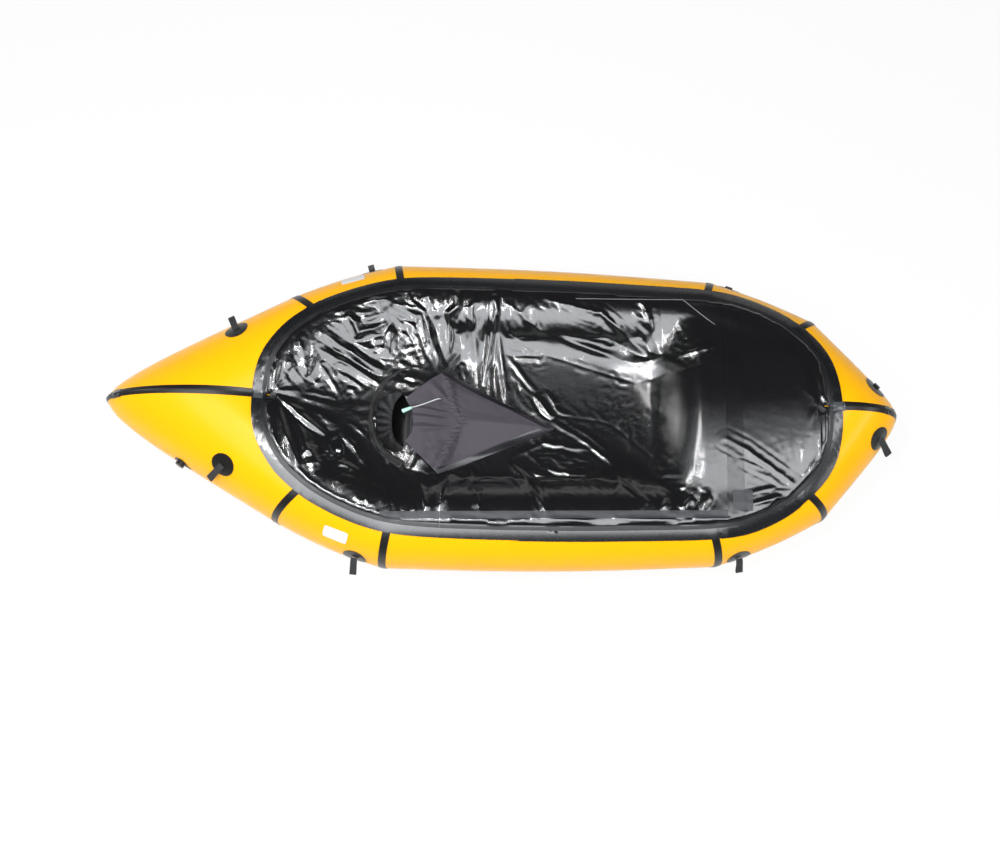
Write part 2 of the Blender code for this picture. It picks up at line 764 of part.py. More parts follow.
def make_tie_down(tree, name, panel, share, degrees, side_name, side):
    """Make one tie-down: the round patch and the webbing loop that swings on it."""
    place = (panel, share, degrees, side)
    size = (PATCH_RADIUS, PATCH_RADIUS)
    patch_name = f"tie_patch_{name}_{side_name}"
    normal, along = laid_patch(tree, patch_name, place, size, "tape", PATCH_THICKNESS)
    out = Vector((normal.x, normal.y, 0)).normalized()
    axis = out.cross(UP).normalized()
    reach = [axis * LOOP_WIDTH * k / 8 + normal.cross(axis) * LOOP_ROOT_RADIUS * m
             for k in range(-4, 5) for m in (-1, 0, 1)]
    pivot = rest_point(place, reach, patch_name) + normal * (LOOP_GAP + LOOP_ROOT_RADIUS)
    holder = axis_empty(f"tie_axis_{name}_{side_name}", pivot)
    half = LOOP_WIDTH / 2
    outer, inner = [], []
    for offset in (-half, half):
        outer.append([pivot + out * u + UP * w + axis * offset for u, w in loop_outline(False)])
        inner.append([pivot + out * u + UP * w + axis * offset for u, w in loop_outline(True)])
    outer = [row[::-1] for row in outer]
    inner = [row[::-1] for row in inner]
    two_skins(f"tie_loop_{name}_{side_name}", outer, inner, "webbing", closed=True, origin=pivot, parent=holder)


def turned(name, profile, colour, place, normal, steps=24, parent=None):
    """Make a turned solid from a radius and height profile, standing on a normal."""
    turn = normal.to_track_quat("Z", "Y").to_matrix()
    points, rows = [], []
    for radius, height in profile:
        if radius == 0:
            rows.append([len(points)])
            points.append(place + turn @ Vector((0, 0, height)))
            continue
        rows.append(list(range(len(points), len(points) + steps)))
        for step in range(steps):
            angle = CIRCLE * step / steps
            points.append(place + turn @ Vector((radius * math.cos(angle), radius * math.sin(angle), height)))
    faces = []
    pairs = list(zip(rows, rows[1:]))
    if profile[0][0] != 0:
        pairs.append((rows[-1], rows[0]))
    for lower, upper in pairs:
        for step in range(steps):
            after = (step + 1) % steps
            if len(lower) == 1:
                faces.append((lower[0], upper[after], upper[step]))
            elif len(upper) == 1:
                faces.append((lower[step], lower[after], upper[0]))
            else:
                faces.append((lower[step], lower[after], upper[after], upper[step]))
    return add_mesh(name, points, faces, colour, origin=place, parent=parent)


def make_valve(tree):
    """Make the inflation valve: flange, open body, cap with its plug, and tether."""
    panel, share, degrees = VALVE_share
    size = (VALVE_FLANGE_RADIUS, VALVE_FLANGE_RADIUS)
    place = (panel, share, degrees, STARBOARD)
    normal, along = laid_patch(tree, "valve_flange", place, size, "plastic", PATCH_THICKNESS)
    across = normal.cross(along)
    reach = [(along * math.cos(CIRCLE * k / 24) + across * math.sin(CIRCLE * k / 24)) * radius
             for k in range(24) for radius in (VALVE_BORE_RADIUS, VALVE_BODY_RADIUS)]
    seat = rest_point(place, reach, "valve_flange") + normal * VALVE_CLEARANCE
    body = [
        (VALVE_BORE_RADIUS, 0), (VALVE_BODY_RADIUS, 0), (VALVE_BODY_RADIUS, VALVE_BODY_HEIGHT),
        (VALVE_BORE_RADIUS, VALVE_BODY_HEIGHT),
    ]
    turned("valve_body", body, "plastic", seat, normal)
    rim = seat + normal * (VALVE_BODY_HEIGHT + VALVE_CLEARANCE)
    plug = VALVE_BORE_RADIUS - VALVE_CLEARANCE
    cap = [
        (0, -VALVE_PLUG_LENGTH), (plug, -VALVE_PLUG_LENGTH), (plug, 0), (VALVE_CAP_RADIUS, 0),
        (VALVE_CAP_RADIUS, VALVE_CAP_HEIGHT * 0.7), (VALVE_CAP_RADIUS * 0.9, VALVE_CAP_HEIGHT),
        (0, VALVE_CAP_HEIGHT),
    ]
    holder = axis_empty("valve_cap_axis", rim)
    turned("valve_cap", cap, "plastic", rim, normal, parent=holder)
    make_tether(seat + normal * VALVE_BODY_HEIGHT * 0.4, normal, along)


def make_tether(place, normal, along):
    """Make the cap's tether: a flat ring round the valve body with a tail."""
    inner = VALVE_BODY_RADIUS + VALVE_CLEARANCE
    across = normal.cross(along)
    steps = 28
    outer_line, inner_line = [], []
    for step in range(steps):
        angle = CIRCLE * step / steps
        c, s = math.cos(angle), math.sin(angle)
        reach = inner + TETHER_WIDTH
        lobe = max(c, 0.0) ** 24
        reach += TETHER_TAIL * lobe
        outer_line.append(place + along * c * reach + across * s * reach)
        inner_line.append(place + along * c * inner + across * s * inner)
    rise = normal * TETHER_THICKNESS
    outer = [outer_line, [p + rise for p in outer_line]]
    inner_rows = [inner_line, [p + rise for p in inner_line]]
    two_skins("valve_tether", outer, inner_rows, "plastic", closed=True)


def plan_rows(xs, low, high, columns=0):
    """Return rows of plan points from port to starboard at each station.

    With no count of columns they crowd towards both edges, over the tubes.
    """
    crowded = COLUMN_shares + (0.5,) + tuple(1 - c for c in COLUMN_shares[::-1])
    shares = [c / columns for c in range(columns + 1)] if columns else crowded
    return [[Vector((x, high(x) + (low(x) - high(x)) * share)) for share in shares] for x in xs]


def spaced(start, stop, count):
    """Return evenly spaced values with both ends."""
    return [start + (stop - start) * i / count for i in range(count + 1)]


def add_sheet(deck, name, rows, colour, thickness=DECK_THICKNESS, lift=0.0, **place):
    """Make a deck sheet over rows of plan points that run aft to forward."""
    upper, lower = deck.skins(rows, thickness, lift)
    two_skins(name, upper[::-1], lower[::-1], colour, **place)


def make_deck(deck):
    """Make the deck's sheets: aft, opening flap, cross strip, bow and closure."""
    start = FLAP_START_share * HALF_LENGTH
    stop = start + FLAP_LENGTH
    strip = stop + LAY_GAP
    bow = strip + STRIP_WIDTH + LAY_GAP
    closure = deck.reach(start) - CLOSURE_WIDTH
    hem = closure - HEM_WIDTH

    def port(x):
        return deck.reach(x)

    def closure_outer(x):
        return -deck.reach(x)

    def closure_inner(x):
        return -deck.reach(x) + CLOSURE_WIDTH

    def hem_outer(x):
        return closure_inner(x) + LAY_GAP

    def hem_inner(x):
        return hem_outer(x) + HEM_WIDTH

    def flap_edge(x):
        return hem_inner(x) + LAY_GAP

    hinge_height = max(deck.crest(start) + BAND_GAP + DECK_THICKNESS, deck.height(start, hem))
    holder = axis_empty("deck_flap_axis", Vector((start, 0, hinge_height)))
    origin = holder.location.copy()
    xs = spaced(start + LAY_GAP, stop, 16)
    add_sheet(deck, "deck_flap", plan_rows(xs, flap_edge, port), "deck", origin=origin, parent=holder)
    xs = spaced(start + LAY_GAP, stop, 16)
    add_sheet(deck, "flap_side_hem", plan_rows(xs, hem_outer, hem_inner, 2), "band", origin=origin, parent=holder)
    add_sheet(deck, "closure_strip", plan_rows(xs, closure_outer, closure_inner, 2), "deck")
    xs = spaced(strip, strip + STRIP_WIDTH, 3)
    add_sheet(deck, "deck_cross_strip", plan_rows(xs, lambda x: -deck.reach(x), port, 26), "tape")
    far = deck.edge_fore()
    xs = [bow + (far - LAY_GAP - bow) * math.sin(QUARTER_TURN * i / 11) for i in range(12)]
    add_sheet(deck, "deck_bow", plan_rows(xs, lambda x: -deck.reach(x), port), "deck")
    middle = strip + STRIP_WIDTH / 2
    edge = -deck.reach(middle) + CLOSURE_WIDTH
    xs = spaced(strip + LAY_GAP, strip + STRIP_WIDTH - LAY_GAP, 3)
    rows = plan_rows(xs, lambda x: edge, lambda x: edge + STRIP_PATCH_LENGTH, 4)
    add_sheet(deck, "strip_patch", rows, "band", STRIP_PATCH_THICKNESS, DECK_THICKNESS + STRIP_PATCH_LIFT)
    make_aft_deck(deck, start)


def opening_line(count):
    """Return the waist opening's edge in plan, anticlockwise from its tip."""
    tip = Vector((OPENING_TIP_share[0] * HALF_LENGTH, OPENING_TIP_share[1] * HALF_BEAM))
    back = [Vector((a * HALF_LENGTH, b * HALF_BEAM)) for a, b in OPENING_shares]
    curve = smooth_outline([tip] + back, 10)
    tail = len(back)
    rear = curve[10:10 * tail + 1]
    whole = [tip] + rear
    return even_outline(whole, count)


def make_aft_deck(deck, front):
    """Make the aft deck sheet and cut the waist opening through it."""
    far = deck.edge_aft()
    turn = far + DECK_RUN
    xs = [turn - (turn - far - LAY_GAP) * math.sin(QUARTER_TURN * (1 - i / 8)) for i in range(8)]
    xs += spaced(turn, front, 14)
    rows = plan_rows(xs, lambda x: -deck.reach(x), deck.reach)
    upper, lower = deck.skins(rows)
    sheet = two_skins("deck_aft", upper[::-1], lower[::-1], "deck")
    line = opening_line(OPENING_STEPS)
    low = [Vector((p.x, p.y, TUBE_RADIUS)) for p in line]
    high = [p + UP * TUBE_DIAMETER for p in low]
    points = low + high
    count = len(line)
    faces = [tuple(range(count))[::-1], tuple(range(count, 2 * count))]
    faces += [(i, (i + 1) % count, count + (i + 1) % count, count + i) for i in range(count)]
    cutter = add_mesh("waist_opening_cutter", points, faces, "deck")
    cutter.hide_render = True
    cutter.display_type = "WIRE"
    collection().objects.unlink(cutter)
    cutter_collection().objects.link(cutter)
    cut = sheet.modifiers.new("waist_opening", "BOOLEAN")
    cut.object = cutter
    cut.solver = "EXACT"


def make_tunnel(deck):
    """Make the waist tunnel's folded front, its standing back and the seam tape."""
    edge = opening_line(OPENING_STEPS)
    tip = edge[0]
    port_end = Vector((OPENING_shares[0][0] * HALF_LENGTH, OPENING_shares[0][1] * HALF_BEAM))
    starboard_end = Vector((OPENING_shares[-1][0] * HALF_LENGTH, OPENING_shares[-1][1] * HALF_BEAM))
    mouth = [Vector((a * HALF_LENGTH, b * HALF_BEAM)) for a, b in MOUTH_shares]
    rear = [port_end] + mouth + [starboard_end]
    columns, steps = 16, 11
    rows = []
    for step in range(steps + 1):
        share = step / steps
        row = []
        for column in range(columns + 1):
            across = column / columns
            back = broken_line(rear, across)
            row.append(back.lerp(tip, share * 0.985))
        rows.append(row)
    upper, lower = [], []
    for step, row in enumerate(rows):
        share = step / steps
        line = []
        for column, p in enumerate(row):
            across = column / columns
            line.append(Vector((p.x, p.y, deck.height(p.x, p.y) + tunnel_rise(across, share))))
        lower.append(line)
        upper.append([p + UP * TUNNEL_THICKNESS for p in line])
    front = two_skins("waist_tunnel_front", upper[::-1], lower[::-1], "nylon")
    make_tunnel_back(deck, edge)
    make_tunnel_seam(deck, port_end, tip, starboard_end)
    return front


def broken_line(points, share):
    """Return a point part way along a run of points."""
    place = share * (len(points) - 1)
    index = min(int(place), len(points) - 2)
    return points[index].lerp(points[index + 1], place - index)


def tunnel_rise(across, along):
    """Return how far the folded tunnel stands over the deck."""
    dome = math.sin(math.pi * across) ** 0.8 * (1 - along) ** 0.8
    ridge = math.exp(-((across - 0.5) / 0.10) ** 2) * (1 - along) * 0.5
    pleat = 0.25 * math.sin(CIRCLE * 4 * across) * math.exp(-((along - 0.12) / 0.16) ** 2)
    return DECK_THICKNESS + TUNNEL_LIFT + TUNNEL_CROWN * (dome + ridge + pleat * math.sin(math.pi * across))


def make_tunnel_back(deck, edge):
    """Make the tunnel's back, which stands at the rear of the waist opening."""
    count = len(edge)
    rear = [p for p in edge if p.x < -0.22 * HALF_LENGTH]
    middle = sum(edge, Vector((0, 0))) / count
    rings = 5
    upper, lower = [], []
    for ring in range(rings + 1):
        share = ring / rings
        line = []
        for p in rear:
            inward = (middle - p).normalized()
            spot = p + inward * (TUNNEL_EDGE_GAP + (TUNNEL_BACK_WIDTH - TUNNEL_EDGE_GAP) * share)
            drop = TUNNEL_BACK_DROP * math.sin(QUARTER_TURN * share)
            line.append(Vector((spot.x, spot.y, deck.height(p.x, p.y) - drop)))
        lower.append(line)
        upper.append([p + UP * TUNNEL_THICKNESS for p in line])
    two_skins("waist_tunnel_back", upper, lower, "nylon")


def make_tunnel_seam(deck, port_end, tip, starboard_end):
    """Make the tape that seams the tunnel to the deck along its two front edges."""
    line = [port_end.lerp(tip, i / 12) for i in range(13)]
    line += [tip.lerp(starboard_end, i / 12) for i in range(1, 13)]
    rows = [[], []]
    for i, p in enumerate(line):
        run = line[min(i + 1, len(line) - 1)] - line[max(i - 1, 0)]
        out = Vector((-run.y, run.x)).normalized()
        rows[0].append(p + out * TUNNEL_SEAM_WIDTH)
        rows[1].append(p + out * LAY_GAP)
    upper, lower = deck.skins(rows, TAPE_THICKNESS, DECK_THICKNESS + TRIM_LIFT)
    two_skins("tunnel_seam_tape", upper[::-1], lower[::-1], "band")


def top_point(tree, p, reach, lift):
    """Return the point above a plan point that clears the surface around it."""
    top = TUBE_RADIUS
    for i in (-1, 0, 1):
        for j in (-1, 0, 1):
            start = Vector((p.x + reach * i, p.y + reach * j, TUBE_DIAMETER * 2))
            hit = tree.ray_cast(start, -UP)[0]
            if hit is not None:
                top = max(top, hit.z)
    return Vector((p.x, p.y, top + lift))


def make_cord(front):
    """Make the drawcord that lies on the tunnel's front, and the pull on its end."""
    route = [Vector((a * HALF_LENGTH, b * HALF_BEAM)) for a, b in CORD_ROUTE_shares]
    tree = surface_of([front])
    points = [top_point(tree, p, CORD_DIAMETER, CORD_DIAMETER / 2 + LAY_GAP) for p in route]
    run = (route[-1] - route[-2]).normalized()
    spots = [route[-1] + run * TOGGLE_LENGTH * k / 6 for k in range(7)]
    pull_height = max(top_point(tree, p, TOGGLE_RADIUS, TOGGLE_RADIUS + LAY_GAP).z for p in spots)
    points[-1].z = pull_height
    line = []
    for i in range(len(points) - 1):
        before, after = points[max(i - 1, 0)], points[min(i + 2, len(points) - 1)]
        a, b = points[i], points[i + 1]
        for step in range(4):
            t = step / 4
            line.append(0.5 * (2 * a + (b - before) * t + (2 * before - 5 * a + 4 * b - after) * t * t
                               + (3 * a - before - 3 * b + after) * t ** 3))
    line.append(points[-1])
    curve = bpy.data.curves.new("waist_drawcord", "CURVE")
    curve.dimensions = "3D"
    curve.bevel_depth = CORD_DIAMETER / 2
    curve.bevel_resolution = 2
    curve.use_fill_caps = True
    spline = curve.splines.new("POLY")
    spline.points.add(len(line) - 1)
    for slot, p in zip(spline.points, line):
        slot.co = (*p, 1)
    cord = bpy.data.objects.new("waist_drawcord", curve)
    rgb, rough = COLOURS["cord"]
    curve.materials.append(material("waist_drawcord_finish", rgb, rough))
    collection().objects.link(cord)
    pull_run = Vector((run.x, run.y, 0))
    start = line[-1] + pull_run * LAY_GAP
    profile = [(0, 0), (TOGGLE_TIP_RADIUS, 0), (TOGGLE_RADIUS, TOGGLE_LENGTH * 0.8),
               (TOGGLE_RADIUS * 0.8, TOGGLE_LENGTH), (0, TOGGLE_LENGTH)]
    turned("drawcord_pull", profile, "toggle", start, pull_run, steps=16)


def cushion(name, low, high, origin=None, parent=None):
    """Make a crowned pad whose sides pull in between its corners."""
    across, along, layers = 8, 8, 3
    points, faces = [], []
    size = high - low
    middle = (low + high) / 2
    corner = 0.28

    def spot(u, v, w):
        reach = 1 - corner * (w ** 4) * 0.25
        waist = 1 - SEAT_WAIST_share * ((1 - u * u) * abs(v) ** 6 + (1 - v * v) * abs(u) ** 6)
        crown = 0.62 + 0.38 * (1 - u ** 4) * (1 - v ** 4)
        return middle + Vector((u * reach * waist * size.x / 2, v * reach * waist * size.y / 2,
                                w * crown * size.z / 2))

    index = {}

    def vertex(i, j, k):
        key = (i, j, k)
        if key not in index:
            index[key] = len(points)
            points.append(spot(2 * i / along - 1, 2 * j / across - 1, 2 * k / layers - 1))
        return index[key]

    def quad(a, b, c, d):
        faces.append((vertex(*a), vertex(*b), vertex(*c), vertex(*d)))

    for i in range(along):
        for j in range(across):
            quad((i, j, layers), (i + 1, j, layers), (i + 1, j + 1, layers), (i, j + 1, layers))
            quad((i, j, 0), (i, j + 1, 0), (i + 1, j + 1, 0), (i + 1, j, 0))
    for k in range(layers):
        for i in range(along):
            quad((i, 0, k), (i + 1, 0, k), (i + 1, 0, k + 1), (i, 0, k + 1))
            quad((i, across, k), (i, across, k + 1), (i + 1, across, k + 1), (i + 1, across, k))
        for j in range(across):
            quad((0, j, k), (0, j, k + 1), (0, j + 1, k + 1), (0, j + 1, k))
            quad((along, j, k), (along, j + 1, k), (along, j + 1, k + 1), (along, j, k + 1))
    return add_mesh(name, points, faces, "seat", origin=origin, parent=parent)


def make_seat():
    """Make the seat cushion with its mouth valve, and the backrest hinged behind it."""
    aft = SEAT_AFT_share * HALF_LENGTH
    base = FLOOR_THICKNESS + SEAM_GAP
    low = Vector((aft, -SEAT_WIDTH / 2, base))
    high = Vector((aft + SEAT_LENGTH, SEAT_WIDTH / 2, base + SEAT_HEIGHT))
    cushion("seat_cushion", low, high)
    crown_edge = base + SEAT_HEIGHT / 2
    edge = aft + SEAT_LENGTH * (1 - SEAT_WAIST_share / 2)
    spot = Vector((edge + SEAM_GAP, 0, crown_edge))
    profile = [(0, 0), (SEAT_VALVE_RADIUS, 0), (SEAT_VALVE_RADIUS, SEAT_VALVE_HEIGHT), (0, SEAT_VALVE_HEIGHT)]
    turned("seat_valve", profile, "plastic", spot, Vector((1, 0, 0)), steps=20)
    pivot = Vector((aft - SEAM_GAP - BACKREST_THICKNESS / 2, 0, base + BACKREST_THICKNESS / 2))
    holder = axis_empty("backrest_axis", pivot)
    foot = base
    low = Vector((pivot.x - BACKREST_THICKNESS / 2, -BACKREST_WIDTH / 2, foot))
    high = Vector((pivot.x + BACKREST_THICKNESS / 2, BACKREST_WIDTH / 2, foot + BACKREST_HEIGHT))
    upright_cushion("backrest", low, high, pivot, holder)


def upright_cushion(name, low, high, pivot, holder):
    """Make the backrest: a pad that stands up, rounded where it turns on the floor."""
    steps, spans = 20, 8
    radius = (high.x - low.x) / 2
    height = high.z - low.z - 2 * radius
    rows = []
    for span in range(spans + 1):
        v = 2 * span / spans - 1
        ease = 1 - 0.35 * abs(v) ** 6
        row = []
        for step in range(steps):
            angle = CIRCLE * step / steps
            lift = height if math.sin(angle) > 0 else 0.0
            crown = ease if lift > 0 else 1 - 0.1 * abs(v) ** 6
            row.append(Vector((pivot.x + radius * math.cos(angle) * crown,
                               v * (high.y - low.y) / 2,
                               low.z + radius + lift * (1 - 0.12 * abs(v) ** 4) + radius * math.sin(angle) * crown)))
        rows.append(row)
    points = [p for row in rows for p in row]
    faces = grid_faces(spans + 1, steps, True, False)
    faces.append(tuple(range(steps)))
    faces.append(tuple(range(spans * steps + steps - 1, spans * steps - 1, -1)))
    add_mesh(name, points, faces, "seat", origin=pivot, parent=holder)


def make_labels(tree):
    """Make the two bare label patches on the stern quarters."""
    panel, share, degrees = LABEL_share
    size = (LABEL_LENGTH / 2, LABEL_HEIGHT / 2)
    for side_name, side in SIDES:
        place = (panel, share, degrees, side)
        laid_patch(tree, f"label_patch_{side_name}", place, size, "label", LABEL_THICKNESS, "square")


def main():
    """Build the whole boat."""
    clear_scene()
    tubes = make_tubes()
    tree = surface_of(tubes)
    deck = Deck(tree)
    make_band(deck)
    make_seam_tapes(deck.outer)
    make_floor()
    for name, panel, share, degrees in TIE_DOWN_shares:
        for side_name, side in SIDES:
            make_tie_down(tree, name, panel, share, degrees, side_name, side)
    make_valve(tree)
    make_labels(tree)
    make_deck(deck)
    make_cord(make_tunnel(deck))
    make_seat()


main()
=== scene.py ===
"""Dress the packraft's frame: inflated hull, crumpled spray deck, waist tunnel and trim.

Metres, +Z up, +X to the bow, +Y to port, as in the frame.
"""

import json
import logging
import math
from collections.abc import Callable, Iterable, Iterator, Sequence
from contextlib import contextmanager
from dataclasses import dataclass, field
from enum import Enum

import bpy
import bmesh
import numpy as np
from mathutils import Matrix, Vector, noise
from mathutils.bvhtree import BVHTree

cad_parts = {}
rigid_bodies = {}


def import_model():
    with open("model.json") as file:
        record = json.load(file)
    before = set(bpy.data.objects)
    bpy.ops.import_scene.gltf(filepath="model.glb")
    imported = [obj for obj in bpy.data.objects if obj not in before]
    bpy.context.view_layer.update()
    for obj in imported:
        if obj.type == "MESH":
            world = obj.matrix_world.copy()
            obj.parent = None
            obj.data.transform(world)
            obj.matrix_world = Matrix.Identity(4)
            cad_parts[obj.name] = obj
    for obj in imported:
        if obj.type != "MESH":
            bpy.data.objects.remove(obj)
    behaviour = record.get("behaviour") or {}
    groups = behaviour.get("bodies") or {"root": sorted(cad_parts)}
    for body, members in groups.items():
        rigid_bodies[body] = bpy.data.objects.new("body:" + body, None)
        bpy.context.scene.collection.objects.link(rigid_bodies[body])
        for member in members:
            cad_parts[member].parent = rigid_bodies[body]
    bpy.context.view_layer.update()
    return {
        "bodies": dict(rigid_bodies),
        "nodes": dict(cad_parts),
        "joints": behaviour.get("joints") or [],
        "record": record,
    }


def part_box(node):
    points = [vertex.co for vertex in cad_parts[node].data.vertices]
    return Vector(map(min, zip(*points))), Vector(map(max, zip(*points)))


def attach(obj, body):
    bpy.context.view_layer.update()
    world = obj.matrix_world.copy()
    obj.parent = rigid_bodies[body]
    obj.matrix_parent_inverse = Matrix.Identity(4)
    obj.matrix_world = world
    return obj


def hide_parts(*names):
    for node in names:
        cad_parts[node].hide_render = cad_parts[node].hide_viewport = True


LOG = logging.getLogger("packraft")
Piece = bpy.types.Object
Socket = bpy.types.NodeSocket
Pair = tuple[float, float]
Triple = tuple[float, float, float]
UP = Vector((0, 0, 1))
HULL_BODY = "hull"
FLAP_BODY = "flap"
BACKREST_BODY = "backrest"
SIDES = {"port": 1, "starboard": -1}

# Half length and half beam of the hull, which the shares below count from
HALF_LENGTH = 1.206
HALF_BEAM = 0.487

# Height taken at a plan point that has nothing under it
DECK_LEVEL = 0.28

# How near two vertices weld, in a sheet rolled into a tube and in a CAD node
ROLL_WELD = 0.00005
NODE_WELD = 0.00002

# Radius that closes the end of a swept tube
CLOSED = 1e-5


class Space(Enum):
    """Which coordinates a finish's pattern follows."""

    OBJECT = "Object"
    FABRIC = "UV"


class Wiring:
    """A node tree that is built one fed node at a time."""

    def __init__(self, owner: bpy.types.Material | bpy.types.World) -> None:
        """Turn nodes on for a material or a world."""
        owner.use_nodes = True
        self.nodes, self.links = owner.node_tree.nodes, owner.node_tree.links

    def feed(self, node: bpy.types.Node, inputs: dict) -> None:
        """Link or set a node's inputs, each by its name or number.

        Args:
            node: The node to feed.
            inputs: Sockets or values by input name or number.
        """
        for key, value in inputs.items():
            if isinstance(value, Socket):
                self.links.new(value, node.inputs[key])
            else:
                node.inputs[key].default_value = value

    def add(self, kind: str, inputs: dict | None = None, **settings) -> bpy.types.NodeOutputs:
        """Add a shader node.

        Args:
            kind: its type, without the usual prefix.
            inputs: what its inputs are linked or set to.
            settings: its own properties.

        Returns:
            Its outputs.
        """
        node = self.nodes.new(f"ShaderNode{kind}")
        for name, value in settings.items():
            setattr(node, name, value)
        self.feed(node, inputs or {})
        return node.outputs


@dataclass(frozen=True)
class Finish:
    """One surface finish as a node material.

    Lengths are in metres: the size of the colour patches, of the dull patches,
    of the crinkles and of one thread of the weave.
    """

    name: str
    colour: Triple
    tint: Triple
    roughness: float
    roughness_spread: float = 0.08
    patch_size: float = 0.12
    crinkle_size: float = 0.02
    crinkle_depth: float = 0.0
    thread_size: float = 0.0
    thread_depth: float = 0.0
    coat: float = 0.0
    coat_roughness: float = 0.1
    sheen: float = 0.0
    specular: float = 0.5
    space: Space = Space.OBJECT

    def build(self) -> bpy.types.Material:
        """Return the finish's material, made once and shared.

        Returns:
            The node material.
        """
        made = bpy.data.materials.get(self.name)
        if made is not None:
            return made
        made = bpy.data.materials.new(self.name)
        wiring = Wiring(made)
        place = wiring.add("TexCoord")[self.space.value]
        looks = {"Base Color": self._paint(wiring, place), "Roughness": self._dull(wiring, place),
                 "Coat Weight": self.coat, "Coat Roughness": self.coat_roughness,
                 "Sheen Weight": self.sheen, "Specular IOR Level": self.specular}
        normal = self._weave(wiring, place, self._crinkle(wiring, place))
        if normal is not None:
            looks["Normal"] = normal
        wiring.feed(wiring.nodes["Principled BSDF"], looks)
        return made

    def _noise(self, wiring: Wiring, place: Socket, size: float, detail: float) -> bpy.types.NodeOutputs:
        """Return a noise pattern's outputs, one feature to each size."""
        return wiring.add("TexNoise", {"Scale": 1 / size, "Detail": detail, "Vector": place})

    def _paint(self, wiring: Wiring, place: Socket) -> Socket:
        """Return the two tones, mixed in soft patches.

        Args:
            wiring: The node tree that is being built.
            place: Socket of the place on the surface.

        Returns:
            Socket of the colour.
        """
        patches = self._noise(wiring, place, self.patch_size, 4)["Fac"]
        tones = {"A": (*self.colour, 1), "B": (*self.tint, 1), "Factor": patches}
        return wiring.add("Mix", tones, data_type="RGBA")["Result"]

    def _dull(self, wiring: Wiring, place: Socket) -> Socket:
        """Return the roughness, spread round its middle value.

        Args:
            wiring: The node tree that is being built.
            place: Socket of the place on the surface.

        Returns:
            Socket of the roughness.
        """
        limits = {"To Min": max(self.roughness - self.roughness_spread, 0.02),
                  "To Max": self.roughness + self.roughness_spread,
                  "Value": self._noise(wiring, place, self.patch_size / 3, 6)["Fac"]}
        return wiring.add("MapRange", limits)["Result"]

    def _bump(self, wiring: Wiring, height: Socket, depth: float, under: Socket | None) -> Socket:
        """Return a bump's normal, laid over another where there is one.

        Args:
            wiring: The node tree that is being built.
            height: Socket of the bump's height.
            depth: Depth of the bump.
            under: Socket of the normal that it lies on, or None.

        Returns:
            Socket of the normal.
        """
        inputs = {"Distance": depth, "Height": height}
        if under is not None:
            inputs["Normal"] = under
        return wiring.add("Bump", inputs)["Normal"]

    def _crinkle(self, wiring: Wiring, place: Socket) -> Socket | None:
        """Return the normal of sharp small creases, or None if it has none.

        Args:
            wiring: The node tree that is being built.
            place: Socket of the place on the surface.

        Returns:
            Socket of the normal, or None.
        """
        if not self.crinkle_depth:
            return None
        reach = self.crinkle_size * 2
        bend = self._noise(wiring, place, reach, 2)["Color"]
        shift = wiring.add("VectorMath", {0: bend, 1: (reach,) * 3, 2: place}, operation="MULTIPLY_ADD")["Vector"]
        cells = wiring.add("TexVoronoi", {"Scale": 1 / self.crinkle_size, "Vector": shift},
                           feature="DISTANCE_TO_EDGE")["Distance"]
        soft = wiring.add("Math", {0: cells, 1: 0.35, 2: 0.3}, operation="SMOOTH_MIN")["Value"]
        return self._bump(wiring, soft, self.crinkle_depth, None)

    def _weave(self, wiring: Wiring, place: Socket, under: Socket | None) -> Socket | None:
        """Return the normal with threads both ways, or the one below if it has none.

        Args:
            wiring: The node tree that is being built.
            place: Socket of the place on the surface.
            under: Socket of the normal that it lies on, or None.

        Returns:
            Socket of the normal, or None.
        """
        if not self.thread_depth:
            return under
        threads = {"Scale": math.pi / (10 * self.thread_size), "Distortion": 0.4, "Vector": place}
        heights = [wiring.add("TexWave", threads, bands_direction=direction)["Fac"] for direction in "XY"]
        cross = wiring.add("Math", dict(enumerate(heights)), operation="MAXIMUM")["Value"]
        return self._bump(wiring, cross, self.thread_depth, under)


YELLOW_COATED = Finish(
    "yellow_coated_fabric", (0.95, 0.455, 0.004), (0.93, 0.425, 0.003), 0.34, 0.05, crinkle_size=0.06,
    crinkle_depth=0.0003, thread_size=0.0009, thread_depth=0.00002, coat=0.16, coat_roughness=0.20, specular=0.10,
    space=Space.FABRIC)
BLACK_TAPE = Finish(
    "black_seam_tape", (0.006, 0.0055, 0.005), (0.010, 0.009, 0.008), 0.36, 0.06, patch_size=0.03,
    crinkle_size=0.010, crinkle_depth=0.0001, specular=0.45)
SLATE_BAND = Finish(
    "slate_deck_band", (0.0040, 0.0046, 0.0056), (0.0055, 0.0062, 0.0075), 0.27, 0.03, patch_size=0.05, coat=0.5,
    coat_roughness=0.27, specular=1.0)
GLOSS_DECK = Finish(
    "gloss_deck_fabric", (0.0045, 0.0045, 0.005), (0.007, 0.007, 0.0075), 0.15, 0.04, patch_size=0.08,
    thread_size=0.0026, thread_depth=0.00010, specular=1.0, coat=0.5, coat_roughness=0.13, space=Space.FABRIC)
MATTE_STRIP = Finish(
    "strip_fabric", (0.004, 0.004, 0.0045), (0.006, 0.006, 0.0065), 0.20, 0.04, patch_size=0.06, thread_size=0.0026,
    thread_depth=0.00005, specular=0.8, coat=0.3, coat_roughness=0.18, space=Space.FABRIC)
# The flap's weld line, light grey against the black deck: a painted highlight along the welded edge
WELD_HIGHLIGHT = Finish(
    "welded_edge_painted_highlight", (0.10, 0.10, 0.105), (0.15, 0.15, 0.155), 0.25, 0.05, patch_size=0.05, crinkle_size=0.01,
    crinkle_depth=0.00005, specular=0.7)
CLEAR_TAB = Finish(
    "translucent_tab", (0.045, 0.050, 0.056), (0.07, 0.077, 0.085), 0.24, 0.05, patch_size=0.02, crinkle_size=0.006,
    crinkle_depth=0.0003, specular=0.8)
